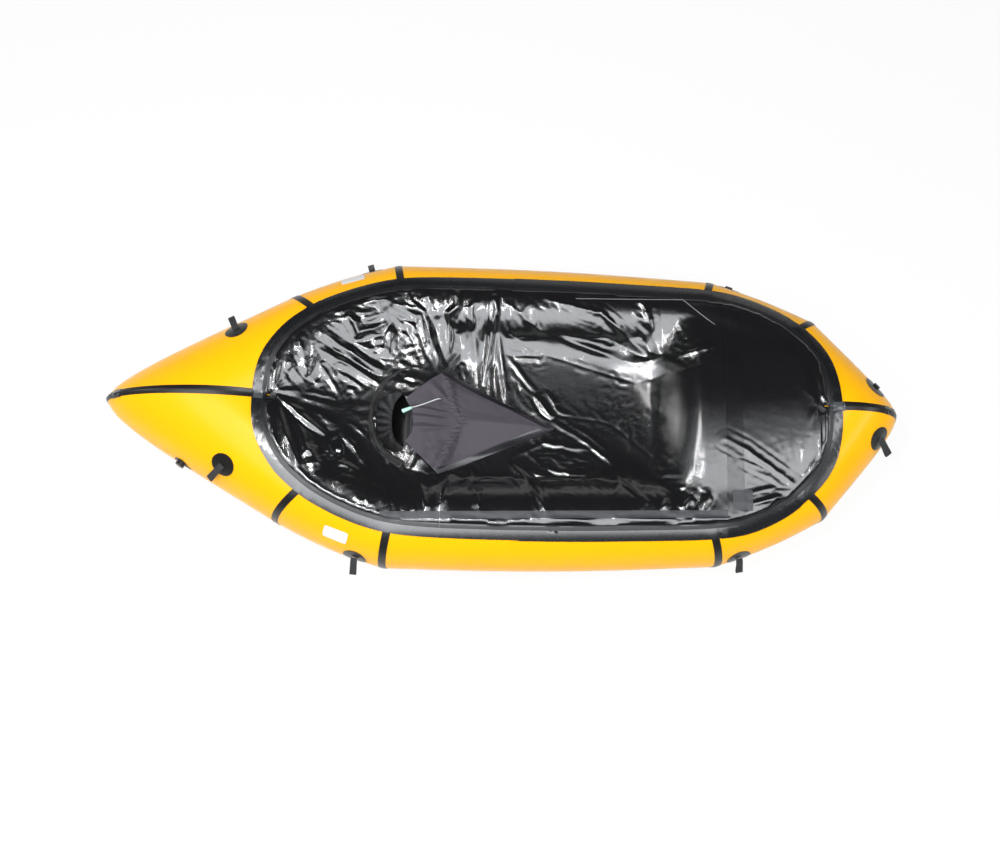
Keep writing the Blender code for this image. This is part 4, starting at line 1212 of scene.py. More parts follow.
@dataclass
class EdgeTape:
    """A soft tape welded along the inner edge of the deck band, over the edge of the deck."""

    deck: "SprayDeck"
    tree: BVHTree
    inner: float = 0.0430
    outer: float = 0.0270
    lift: float = 0.0006
    thickness: float = 0.0006
    columns: int = 420
    rounds: int = 6

    def build(self) -> Piece:
        """Build the tape all the way round.

        Returns:
            The tape.
        """
        line = self.deck.rim()
        closed = np.vstack([line, line[:1]])
        gone = np.concatenate([[0], np.cumsum(np.linalg.norm(np.diff(closed, axis=0), axis=1))])
        ways = gone[-1] * np.arange(self.columns) / self.columns
        spots = np.stack([np.interp(ways, gone, closed[:, k]) for k in (0, 1)], axis=1)
        for _ in range(self.rounds):
            spots = (np.roll(spots, 1, 0) + 2 * spots + np.roll(spots, -1, 0)) / 4
        run = np.roll(spots, -1, 0) - np.roll(spots, 1, 0)
        run /= np.linalg.norm(run, axis=1)[:, None]
        inward = np.stack([run[:, 1], -run[:, 0]], axis=1)
        if ((spots + 0.01 * inward) ** 2).sum() > (spots ** 2).sum():
            inward = -inward

        def where(u: float, v: float) -> Vector:
            """Return a point of the tape.

            Args:
                u: Share of the way round the deck.
                v: Share of the way from its outer edge to its inner one.

            Returns:
                The point, lifted off the cloth under it.
            """
            index = int(round(u * self.columns)) % self.columns
            x, y = spots[index] + inward[index] * (self.outer + (self.inner - self.outer) * v)
            return Vector((x, y, Bench.top(self.tree, x, y) + self.lift))

        tape = Bench.grid("deck_band_edge", self.columns, 6, where, welded=True)
        Bench.thicken(tape, self.thickness, 1, 50, 3)
        Bench.plan_fabric(tape)
        return Bench.dress(tape, DARK_EDGE, HULL_BODY, "band_fabric")


# The welded edge line of the flap, which ends at its port margin, in plan; it is drawn light grey as a painted
# highlight along that edge
FLAP_WELD = ((0.225, 0.3400), (0.4269, 0.3430), (0.5566, 0.3460), (0.6550, 0.2640))

# How round the crest of a fold is
CREST = 0.0016


@dataclass(frozen=True)
class Fold:
    """A ridge in a sheet, along a line of shares of half length and half beam."""

    points: tuple[Pair, ...]
    height: float
    width: float


DECK_FOLDS = (
    Fold(((-0.451, 0.305), (-0.378, 0.23), (-0.305, 0.131)), 0.013, 0.011),
    Fold(((-0.449, 0.411), (-0.38, 0.316), (-0.312, 0.228)), 0.013, 0.011),
    Fold(((-0.498, 0.354), (-0.474, 0.152), (-0.455, 0.291)), 0.012, 0.013),
    Fold(((-0.524, 0.214), (-0.471, 0.055)), 0.010, 0.010),
    Fold(((-0.448, 0.219), (-0.415, 0.117), (-0.389, -0.004)), 0.012, 0.012),
    Fold(((-0.473, -0.029), (-0.459, -0.156), (-0.431, -0.212)), 0.011, 0.012),
    Fold(((-0.541, -0.015), (-0.52, -0.205), (-0.476, -0.434)), 0.012, 0.013),
    Fold(((-0.384, -0.183), (-0.323, -0.374), (-0.281, -0.464)), 0.016, 0.026),
    Fold(((-0.468, -0.359), (-0.426, -0.293), (-0.384, -0.183)), 0.012, 0.012),
    Fold(((-0.476, -0.434), (-0.396, -0.385), (-0.336, -0.431), (-0.281, -0.489)), 0.010, 0.012),
    Fold(((-0.458, 0.558), (-0.395, 0.59), (-0.279, 0.679)), 0.012, 0.020),
    Fold(((-0.389, 0.556), (-0.355, 0.424), (-0.276, 0.523)), 0.012, 0.011),
    Fold(((-0.276, 0.523), (-0.282, 0.329)), 0.012, 0.010),
    Fold(((-0.268, 0.625), (-0.198, 0.583), (-0.177, 0.416), (-0.144, 0.266)), 0.014, 0.014),
    Fold(((-0.195, 0.74), (-0.175, 0.605), (-0.138, 0.506), (-0.127, 0.313)), 0.012, 0.022),
    Fold(((-0.113, 0.732), (-0.111, 0.623), (-0.134, 0.574), (-0.13, 0.366)), 0.016, 0.012),
    Fold(((-0.069, 0.735), (-0.075, 0.578), (-0.052, 0.161)), 0.014, 0.024),
    Fold(((-0.02, 0.738), (-0.014, 0.602), (-0.042, 0.175)), 0.016, 0.012),
    Fold(((-0.014, 0.602), (0.022, 0.049)), 0.012, 0.018),
    Fold(((0.009, 0.66), (0.099, 0.50), (0.251, 0.385), (0.352, 0.31), (0.403, 0.346)), 0.020, 0.026),
    Fold(((0.111, 0.69), (0.252, 0.60), (0.353, 0.42), (0.39, 0.325)), 0.014, 0.016),
    Fold(((0.354, 0.70), (0.379, 0.543), (0.408, 0.366)), 0.014, 0.020),
    Fold(((0.411, 0.503), (0.44, 0.332), (0.54, 0.399)), 0.012, 0.022),
    Fold(((0.105, 0.087), (0.136, -0.053)), 0.008, 0.010),
    Fold(((0.035, -0.301), (0.116, -0.202), (0.251, -0.243), (0.32, -0.394), (0.36, -0.575)), 0.026, 0.045),
    Fold(((0.28, -0.334), (0.304, -0.438), (0.362, -0.581)), 0.020, 0.014),
    Fold(((0.011, -0.289), (0.071, -0.441), (0.119, -0.658)), 0.014, 0.014),
    Fold(((0.398, -0.640), (0.418, -0.573)), 0.012, 0.011),
    Fold(((0.447, -0.636), (0.472, -0.545)), 0.014, 0.013),
    Fold(((0.496, -0.633), (0.511, -0.535)), 0.012, 0.011),
    Fold(((0.555, -0.20), (0.60, -0.26), (0.729, -0.502)), 0.012, 0.016),
    Fold(((0.602, -0.33), (0.67, -0.41), (0.729, -0.502)), 0.009, 0.012),
    Fold(((0.824, -0.05), (0.787, -0.3), (0.734, -0.502)), 0.010, 0.011),
    Fold(((0.598, -0.60), (0.66, -0.565), (0.734, -0.502)), 0.010, 0.012),
    Fold(((-0.273, -0.611), (-0.26, -0.332)), 0.008, 0.012),
    Fold(((-0.188, -0.483), (-0.165, -0.677)), 0.010, 0.012),
    Fold(((-0.115, -0.466), (-0.136, -0.675)), 0.010, 0.012),
    Fold(((-0.066, -0.413), (-0.039, -0.669)), 0.010, 0.012),
)


def segments(folds: Iterable[Fold]) -> list[tuple]:
    """Return each fold's stretches as start, run, share gone, share in it, height and width.

    Args:
        folds: The folds.

    Returns:
        One row for each stretch.
    """
    rows = []
    for fold in folds:
        line = [np.array((x * HALF_LENGTH, y * HALF_BEAM)) for x, y in fold.points]
        lengths = [np.linalg.norm(b - a) for a, b in zip(line, line[1:])]
        gone = 0.0
        for a, b, length in zip(line, line[1:], lengths):
            rows.append((a, b - a, gone / sum(lengths), length / sum(lengths), fold.height, fold.width))
            gone += length
    return rows


def fold_heights(points: np.ndarray, folds: Iterable[Fold], fade: float = 0.6) -> np.ndarray:
    """Return how far the folds stand up at plan points.

    Args:
        points: plan points, one to a row.
        folds: the folds.
        fade: how gently a fold runs out at its ends.

    Returns:
        The heights.
    """
    total = np.zeros(len(points))
    for start, run, gone, part, height, width in segments(folds):
        share = np.clip(((points - start) @ run) / (run @ run), 0, 1)
        off = np.linalg.norm(points - start - share[:, None] * run, axis=1)
        along = np.clip(gone + part * share, 0, 1)
        taper = np.sin(np.pi * (0.08 + 0.84 * along)) ** fade
        off = np.sqrt(off ** 2 + CREST ** 2) - CREST
        total = np.maximum(total, height * taper * np.clip(1 - off / (2 * width), 0, 1))
    return total


class DeckPart(Enum):
    """The sheets that the deck is cut into."""

    AFT = "deck_aft"
    FLAP = "deck_flap"
    HEM = "flap_side_hem"
    CLOSURE = "closure_strip"
    STRIP = "deck_cross_strip"
    BOW = "deck_bow"
    AFT_HEM = "aft_hem"
    AFT_CLOSURE = "aft_closure"
    MARGIN = "port_margin"
    MOUTH = "mouth"


@dataclass
class SprayDeck:
    """The spray deck, draped as one crumpled sheet and cut into its pieces."""

    frame: dict
    skins: BVHTree
    cell: float = 0.007
    relax_rounds: int = 10
    over_band: float = 0.014
    inner_fade: float = 0.03
    tuck: float = 0.012
    band_width: float = 0.042
    clear: float = 0.0016
    base_level: float = 0.27
    thickness: float = 0.0008
    form_drop: float = 0.006
    facets: Sequence[tuple[float, float, float, float]] = (
        (22, 0.112, 0.0030, 0.10), (78, 0.090, 0.0030, 0.37), (-38, 0.128, 0.0034, 0.63), (-72, 0.062, 0.0015, 0.20),
        (50, 0.055, 0.0012, 0.80),
    )
    fore_share: float = 0.22
    smooth_from: Pair = (0.45, 0.15)
    sag: float = 0.034
    sag_port: Pair = (0.365, 0.175)
    sag_starboard: Pair = (-0.315, -0.21)
    margin: float = 0.034
    closure_rise: float = 0.014
    closure_width: float = 0.030
    closure_crest: float = 0.78
    bow_crown: float = 0.020
    crown_half_width: float = 0.34
    taut_from: Pair = (0.46, 0.16)
    taut_fade: float = 0.06
    rim_sample: Pair = (0.012, 0.008)
    sag_from: Pair = (-0.24, 0.14)
    sag_until: Pair = (0.34, 0.24)
    seat_until: Pair = (-0.26, 0.26)
    strip_shift: Pair = (-0.014, -0.022)
    frames: int = 14
    rules: dict = field(default_factory=lambda: {
        "quality": 5, "mass": 0.4, "tension_stiffness": 60, "compression_stiffness": 60, "shear_stiffness": 30,
        "bending_stiffness": 12, "tension_damping": 15, "compression_damping": 15, "shear_damping": 15,
        "bending_damping": 2, "air_damping": 3, "shrink_min": -0.004})
    contact: dict = field(default_factory=lambda: {"distance_min": 0.002, "collision_quality": 2})
    hem_start: float = -0.336
    hem_aft: float = -0.336
    hem_fore: float = -0.3055
    hem_end: float = 0.678
    hem_width: float = 0.022
    outline: Sequence[Pair] = (
        (-0.6045, 0.0), (-0.5995, 0.154), (-0.5846, 0.287), (-0.5547, 0.417), (-0.5249, 0.505),
        (-0.4652, 0.622), (-0.4046, 0.702), (-0.3449, 0.762), (-0.2869, 0.803), (-0.2264, 0.825),
        (-0.1368, 0.836), (0.0133, 0.838), (0.1924, 0.832), (0.3184, 0.821), (0.4013, 0.813),
        (0.4900, 0.803), (0.5506, 0.789), (0.6103, 0.758), (0.6692, 0.698), (0.7289, 0.604),
        (0.7886, 0.460), (0.8184, 0.329), (0.8308, 0.175), (0.8325, 0.0),
    )
    mouth: Sequence[Pair] = (
        (-0.300, 0.045), (-0.335, 0.035), (-0.362, 0.005), (-0.372, -0.045), (-0.362, -0.095),
        (-0.335, -0.140), (-0.290, -0.150), (-0.262, -0.110), (-0.258, -0.060), (-0.262, -0.010),
    )
    overlap: dict[DeckPart, float] = field(default_factory=lambda: {
        DeckPart.STRIP: 0.0014, DeckPart.HEM: 0.0012, DeckPart.AFT_HEM: 0.0012})
    sheets: dict[DeckPart, Piece] = field(default_factory=dict)

    def rim(self) -> np.ndarray:
        """Return the band's outer edge as a closed plan line."""
        port = [(x * HALF_LENGTH, y * HALF_BEAM) for x, y in self.outline]
        return np.array(port + [(x, -y) for x, y in port[-2:0:-1]])

    def rim_distance(self, points: np.ndarray) -> np.ndarray:
        """Return how far inside the band's outer edge plan points are, negative outside.

        Args:
            points: Plan points, one in each row.

        Returns:
            The distances in metres.
        """
        line = self.rim()
        away = np.full(len(points), 1.0)
        inside = np.zeros(len(points), bool)
        for a, b in zip(line, np.roll(line, -1, axis=0)):
            run = b - a
            share = np.clip(((points - a) @ run) / (run @ run), 0, 1)
            away = np.minimum(away, np.linalg.norm(points - a - share[:, None] * run, axis=1))
            crosses = (a[1] > points[:, 1]) != (b[1] > points[:, 1])
            if a[1] != b[1]:
                at = a[0] + (points[:, 1] - a[1]) * run[0] / run[1]
                inside ^= crosses & (points[:, 0] < at)
        return np.where(inside, away, -away)

    def base_tree(self) -> BVHTree:
        """Return a search tree over the CAD solids that show the deck's plain height.

        Returns:
            The search tree.
        """
        names = ("deck_aft", "deck_flap", "flap_side_hem", "closure_strip", "deck_cross_strip", "deck_bow",
                 "deck_band")
        return Bench.tree(self.frame["nodes"][n] for n in names)

    def _flat_sheet(self) -> Piece:
        """Return a flat grid that reaches a little under the band's outer edge.

        Returns:
            The grid.
        """
        rim = self.rim()
        low, high = rim.min(axis=0), rim.max(axis=0)
        columns, rows = (int((high[i] - low[i]) / self.cell) for i in (0, 1))

        def where(u: float, v: float) -> Vector:
            """Return a point of the flat sheet."""
            return Vector((low[0] + (high[0] - low[0]) * u, low[1] + (high[1] - low[1]) * v, 0))

        sheet = Bench.grid("deck_master", columns, rows, where)
        depth = self.rim_distance(Bench.plan(sheet))
        Bench.delete(sheet, lambda shape: [v for v in shape.verts if depth[v.index] < self.tuck], "VERTS")
        return sheet

    def build_master(self) -> Piece:
        """Drape the whole deck as one sheet.

        Returns:
            The sheet, settled and smoothed, not yet cut.
        """
        master = self._flat_sheet()
        plan = Bench.plan(master)
        depth = self.rim_distance(plan)
        tree = self.base_tree()
        plain = np.array([Bench.bridge(tree, x, y, self.base_level) for x, y in plan])
        plain = self._relax(master, plain, depth)
        base = self._tauten(plan, plain, depth) - self._sag(plan)
        under = np.array([Bench.drop(self.skins, x, y) or 0 for x, y in plan])
        over = ease_all((depth - self.band_width) / self.over_band)
        base = np.maximum(base, under + self.clear) * over + (under + self.clear) * (1 - over)
        Bench.raise_to(master, base + self._creases(plan) + self._bulge(plan, depth))
        fade = ease_all((depth - self.band_width) / self.inner_fade)
        form = self._form(master, np.maximum(base - self.form_drop * fade, under + self.clear * 0.5))
        Bench.simulate(master, np.flatnonzero(depth < self.band_width), self.frames, self.rules, self.contact)
        bpy.data.objects.remove(form)
        for vertex, low in zip(master.data.vertices, under + self.clear):
            vertex.co.z = max(vertex.co.z, low)
        self._sharpen(master)
        for vertex in master.data.vertices:
            low = Bench.drop(self.skins, *vertex.co.xy)
            if low is not None:
                vertex.co.z = max(vertex.co.z, low + self.clear)
        return master

    def _creases(self, plan: np.ndarray) -> np.ndarray:
        """Return the height of the folds and facets at plan points.

        Args:
            plan: Plan points, one in each row.

        Returns:
            The heights in metres.
        """
        crumple = np.array([self._crumple(x, y) for x, y in plan])
        fade = ease_all((self.rim_distance(plan) - self.band_width) / self.inner_fade)
        return (fold_heights(plan, DECK_FOLDS) + crumple) * fade

    def _sharpen(self, master: Piece) -> None:
        """Divide the settled sheet, and give its creases back what the rounding took.

        Args:
            master: The settled sheet.
        """
        blurred = Bench.twin(master, "deck_blurred")
        Bench.raise_to(blurred, self._creases(Bench.plan(master)))
        for sheet in (master, blurred):
            Bench.modify(sheet, "SUBSURF", levels=1, render_levels=1)
        sharp = self._creases(Bench.plan(master))
        for vertex, soft, z in zip(master.data.vertices, blurred.data.vertices, sharp):
            vertex.co.z += z - soft.co.z
        bpy.data.objects.remove(blurred)

    def _crumple(self, x: float, y: float) -> float:
        """Return the facets' height at a plan point, deepest round the seat.

        Args:
            x: Place along the boat.
            y: Place across it.

        Returns:
            The height in metres.
        """
        aft = 1 - ease((x - self.seat_until[0]) / self.seat_until[1])
        bend = noise.noise(Vector((x * 4, y * 4, 1.5))) * 0.10
        total = 0.0
        for angle, wave, height, phase in self.facets:
            turn = math.radians(angle)
            place = (x * math.cos(turn) + y * math.sin(turn)) / wave + phase + bend * 0.09 / wave
            fade = ease(0.5 + 1.3 * noise.noise(Vector((x * 8 + phase * 30, y * 8, angle))))
            total += height * fade * (abs(place % 1 - 0.5) * 4 - 1)
        smooth = ease((x - self.smooth_from[0]) / self.smooth_from[1]) * ease(0.5 + y / 0.2)
        fore = self.fore_share * (1 - smooth)
        return total * (aft + fore * (1 - aft)) + 0.002 * noise.noise(Vector((x * 7, y * 7, 5.0)))

    def _tauten(self, plan: np.ndarray, base: np.ndarray, depth: np.ndarray) -> np.ndarray:
        """Return the plain deck with its bow end drawn tight and a little crowned between the tubes.

        Args:
            plan: Plan points, one in each row.
            base: Height of the plain deck at each point.
            depth: How far inside the rim each point lies.

        Returns:
            The new heights in metres.
        """
        near = (np.abs(depth - self.band_width - self.rim_sample[0]) < self.rim_sample[1]) & (plan[:, 1] > 0)
        order = np.argsort(plan[near, 0])
        rim = np.interp(plan[:, 0], plan[near, 0][order], base[near][order])
        reach = np.clip(np.abs(plan[:, 1]) / self.crown_half_width, 0, 1)
        crown = self.bow_crown * (0.5 + 0.5 * np.cos(np.pi * reach))
        share = ease_all((plan[:, 0] - self.taut_from[0]) / self.taut_from[1])
        share *= ease_all((depth - self.band_width) / self.taut_fade)
        return base + (rim + crown - base) * share

    def _sag(self, plan: np.ndarray) -> np.ndarray:
        """Return how far the deck hangs between the tubes, ahead of the seat.

        Args:
            plan: Plan points, one in each row.

        Returns:
            The distances in metres.
        """
        x, y = plan[:, 0], plan[:, 1]
        port = np.clip((self.sag_port[0] - y) / (self.sag_port[0] - self.sag_port[1]), 0, 1)
        starboard = np.clip((y - self.sag_starboard[0]) / (self.sag_starboard[1] - self.sag_starboard[0]), 0, 1)
        start, stop = self.sag_from, self.sag_until
        along = ease_all((x - start[0]) / start[1]) * (1 - ease_all((x - stop[0]) / stop[1]))
        return self.sag * along * np.minimum(port, starboard)

    def _hem_slope(self) -> float:
        """Return how far the hem runs outboard to each metre along the boat."""
        return (self.hem_fore - self.hem_aft) / (self.hem_end - self.hem_start)

    def _bulge(self, plan: np.ndarray, depth: np.ndarray) -> np.ndarray:
        """Return how far the closing strip stands up between the hem and the band.

        Args:
            plan: Plan points, one in each row.
            depth: How far inside the rim each point lies.

        Returns:
            The heights in metres.
        """
        edge = self.hem_aft - self.hem_width + self._hem_slope() * (plan[:, 0] - self.hem_start)
        in_reach = (plan[:, 0] > self.hem_start) & (plan[:, 0] < self.hem_end + 0.01) & (plan[:, 1] < edge)
        share = np.clip((depth - self.band_width) / self.closure_width, 0, 1)
        waves = np.array([0.7 + 0.5 * noise.noise(Vector((x * 11, y * 20, 8.0))) for x, y in plan])
        rise = self.closure_rise * np.interp(share, (0, self.closure_crest, 1), (0, 1, 0))
        return np.where(in_reach, rise * waves, 0)

    def _relax(self, obj: Piece, values: np.ndarray, depth: np.ndarray) -> np.ndarray:
        """Smooth values over a mesh, away from the rim.

        Args:
            obj: The mesh.
            values: One value for each of its vertices.
            depth: How far inside the rim each point lies.

        Returns:
            The smoothed values.
        """
        edges = np.array([e.vertices[:] for e in obj.data.edges])
        count = np.bincount(edges.ravel(), minlength=len(values))
        free = depth > self.band_width + 0.01
        for _ in range(self.relax_rounds):
            total = np.bincount(edges[:, 0], values[edges[:, 1]], len(values))
            total += np.bincount(edges[:, 1], values[edges[:, 0]], len(values))
            values = np.where(free, total / count, values)
        return values

    def _form(self, master: Piece, heights: np.ndarray) -> Piece:
        """Return the form below the deck that stops it from sinking while it settles.

        Args:
            master: The sheet of the whole deck.
            heights: Height of the deck at each vertex.

        Returns:
            The form.
        """
        form = Bench.twin(master, "deck_form")
        Bench.raise_to(form, heights)
        form.modifiers.new("collision", "COLLISION")
        form.collision.thickness_outer = self.contact["distance_min"]
        form.collision.cloth_friction = 12
        return form

    def cut(self, master: Piece) -> None:
        """Cut the draped sheet into its pieces along straight seams.

        Args:
            master: The sheet of the whole deck.
        """
        flap_low, flap_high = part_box("deck_flap")
        strip_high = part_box("deck_cross_strip")[1]
        flap_high.x += self.strip_shift[0]
        strip_high.x += self.strip_shift[1]
        seams = [(x, 0.0, 1.0, 0.0) for x in (flap_low.x, flap_high.x, strip_high.x, self.hem_start)]
        slope = self._hem_slope()
        seams.append((self.hem_start, self.hem_aft, -slope, 1.0))
        seams.append((self.hem_start, self.hem_aft - self.hem_width, -slope, 1.0))
        with Bench.editing(master):
            for x, y, across, along in seams:
                bpy.ops.mesh.select_all(action="SELECT")
                bpy.ops.mesh.bisect(plane_co=(x, y, 0), plane_no=(across, along, 0))
        stations = (flap_low.x, flap_high.x, strip_high.x)
        spots = [p.center.copy() for p in master.data.polygons]
        depth = self.rim_distance(np.array([spot.xy for spot in spots]))
        labels = [self._label(spot, away, stations) for spot, away in zip(spots, depth)]
        for part in DeckPart:
            if part is not DeckPart.MOUTH:
                self.sheets[part] = piece = Bench.twin(master, f"{part.value}_sheet")
                Bench.keep_faces(piece, lambda face: labels[face.index] is part)
        bpy.data.objects.remove(master)

    def _label(self, spot: Vector, depth: float, stations: Triple) -> DeckPart:
        """Return the piece that a face of the sheet belongs to.

        Args:
            spot: Middle of the face.
            depth: How far inside the rim it lies.
            stations: Where the flap starts and ends and the cross strip ends.

        Returns:
            The part of the deck.
        """
        flap_start, flap_stop, strip_stop = stations
        if spot.x > strip_stop:
            return DeckPart.BOW
        if spot.x > flap_stop:
            return DeckPart.STRIP
        hem = self.hem_aft + self._hem_slope() * (spot.x - self.hem_start)
        aft = spot.x < flap_start
        if spot.x > self.hem_start and spot.y < hem - self.hem_width:
            return DeckPart.AFT_CLOSURE if aft else DeckPart.CLOSURE
        if spot.x > self.hem_start and spot.y < hem:
            return DeckPart.AFT_HEM if aft else DeckPart.HEM
        if aft:
            return DeckPart.MOUTH if self._in_mouth(spot) else DeckPart.AFT
        return DeckPart.MARGIN if depth < self.margin else DeckPart.FLAP

    def _in_mouth(self, spot: Vector) -> bool:
        """Return whether a point is in the waist opening's mouth.

        Args:
            spot: The point.

        Returns:
            True inside the mouth.
        """
        inside = False
        for (ax, ay), (bx, by) in zip(self.mouth, self.mouth[1:] + self.mouth[:1]):
            if (ay > spot.y) != (by > spot.y) and spot.x < ax + (spot.y - ay) * (bx - ax) / (by - ay):
                inside = not inside
        return inside

    def finish(self) -> None:
        usual = (GLOSS_DECK, HULL_BODY, "deck_fabric", "stretched")
        looks = {
            DeckPart.FLAP: (GLOSS_DECK, FLAP_BODY, "deck_fabric", "laid"),
            DeckPart.HEM: (HEM_GREY, FLAP_BODY, "band_fabric", "stretched"),
            DeckPart.STRIP: (MATTE_STRIP, HULL_BODY, "deck_fabric", "stretched"),
            DeckPart.AFT_HEM: (HEM_GREY, HULL_BODY, "band_fabric", "stretched"),
        }
        for part, piece in self.sheets.items():
            finish, body, slot, held = looks.get(part, usual)
            area = Bench.area(piece)
            Bench.plan_fabric(piece)
            over = self.overlap.get(part, 0.0)
            for vertex in piece.data.vertices:
                vertex.co.z += over
            Bench.thicken(piece, self.thickness + over, -1, 75, closed=False)
            Bench.dress(piece, finish, body, slot, part.value if part.value in self.frame["nodes"] else None)
            Bench.declare(piece, area, Bench.corners(piece), held, rests_on=["deck_band"])


@dataclass
class WaistTunnel:
    """The waist tunnel, folded down on the deck, and the tape along its front edges."""

    tree: BVHTree
    level: float = 0.26
    lift: float = 0.004
    thickness: float = 0.0008
    tip: Pair = (0.171, -0.058)
    rear: Sequence[Pair] = (
        (-0.1663, 0.117), (-0.2834, 0.0155), (-0.2605, -0.0215), (-0.2554, -0.065), (-0.2571, -0.0897),
        (-0.2765, -0.121), (-0.1766, -0.2118),
    )
    gather: Fold = Fold(((-0.135, 0.236), (-0.123, 0.117), (-0.109, -0.011), (-0.090, -0.105), (-0.113, -0.233),
                         (-0.138, -0.372), (-0.146, -0.43)), 0.017, 0.009)
    folds: Sequence[Fold] = (
        Fold(((-0.095, -0.085), (-0.02, -0.100), (0.142, -0.125)), 0.034, 0.055),
        Fold(((-0.218, -0.030), (-0.15, -0.045), (-0.100, -0.035)), 0.012, 0.006),
        Fold(((-0.216, -0.085), (-0.15, -0.090), (-0.092, -0.08)), 0.012, 0.006),
        Fold(((-0.214, -0.160), (-0.15, -0.150), (-0.094, -0.12)), 0.012, 0.007),
        Fold(((-0.160, -0.36), (-0.150, -0.30), (-0.125, -0.22)), 0.010, 0.012),
        Fold(((-0.170, 0.130), (-0.14, 0.06), (-0.109, 0.0)), 0.010, 0.008),
    )
    margin: float = 0.017
    margin_share: float = 0.12
    margin_lift: float = 0.0012
    loft: float = 0.010
    edge_share: float = 0.12

    def rear_point(self, share: float) -> Vector:
        """Return the plan point part way along the tunnel's rear edge.

        Args:
            share: Share of the way along the edge.

        Returns:
            The plan point.
        """
        lengths = [0.0]
        for a, b in zip(self.rear, self.rear[1:]):
            lengths.append(lengths[-1] + math.dist(a, b))
        want = share * lengths[-1]
        x = float(np.interp(want, lengths, [p[0] for p in self.rear]))
        y = float(np.interp(want, lengths, [p[1] for p in self.rear]))
        return Vector((x, y))

    def surface(self, spot: Vector, u: float, v: float) -> float:
        """Return the folded front's height, from its plan point and its shares across and along.

        Args:
            spot: The plan point.
            u: Share of the way across.
            v: Share of the way along.

        Returns:
            The height in metres.
        """
        edge = min(u, 1 - u) / self.edge_share
        here = np.array([spot])
        gathered = fold_heights(here, [self.gather])[0]
        rise = max(fold_heights(here, self.folds)[0], gathered)
        ruffle = 0.6 * gathered * noise.noise(Vector((spot.x * 70, spot.y * 130, 2.0)))
        crumple = 0.0016 * noise.noise(Vector((spot.x * 40, spot.y * 40, 2.0)))
        loft = self.loft * ease(edge) * (1 - v) ** 0.7
        deck = Bench.bridge(self.tree, spot.x, spot.y, self.level)
        return deck + self.lift + loft + (rise + ruffle + crumple) * ease(edge * 1.5)

    def build_margins(self) -> None:
        """Build the tape along the two front edges of the tunnel."""
        tip, part = Vector(self.tip), self.margin_share
        ends = [Vector(self.rear[0]), Vector(self.rear[-1])]
        across = [self.rear_point(part) - self.rear_point(0.0), self.rear_point(1 - part) - self.rear_point(1.0)]
        rear = sum(math.dist(a, b) for a, b in zip(self.rear, self.rear[1:]))

        def where(u: float, v: float) -> Vector:
            """Return a point of the tape.

            Args:
                u: Share of the way from one rear end over the tip to the other.
                v: Share of the way inwards from the edge.

            Returns:
                The point, lifted off the tunnel.
            """
            side = 0 if u < 0.5 else 1
            along = 0.985 * (1 - abs(u - 0.5) * 2)
            run = (tip - ends[side]) / (tip - ends[side]).length
            square = across[side] - run * across[side].dot(run)
            wide = part * square.length / across[side].length * rear * max(1 - along, 0.02)
            inset = min(self.margin / wide * part, 0.5) * v
            place = 1 - inset if side else inset
            spot = self.rear_point(place).lerp(tip, along)
            return Vector((spot.x, spot.y, self.surface(spot, place, along) + self.margin_lift))

        tape = Bench.grid("tunnel_seam_tape_laid", 120, 5, where)
        Bench.thicken(tape, self.thickness, 1, 50, 2)
        Bench.plan_fabric(tape)
        Bench.dress(tape, TUNNEL_TAPE, HULL_BODY, "band_fabric", "tunnel_seam_tape")

    def build_front(self) -> Piece:
        """Build the folded front of the tunnel.

        Returns:
            The sheet.
        """
        tip = Vector(self.tip)

        def where(u: float, v: float) -> Vector:
            """Return a point of the folded cloth."""
            spot = self.rear_point(u).lerp(tip, v * 0.99)
            return Vector((spot.x, spot.y, self.surface(spot, u, v)))

        front = Bench.grid("waist_tunnel_sheet", 170, 130, where)
        Bench.plan_fabric(front)
        Bench.modify(front, "SMOOTH", factor=0.5, iterations=2)
        area = Bench.area(front)
        Bench.thicken(front, self.thickness, -1, 70)
        Bench.dress(front, TUNNEL_NYLON, HULL_BODY, "tunnel_nylon", "waist_tunnel_front")
        low, high = Bench.corners(front)
        return front


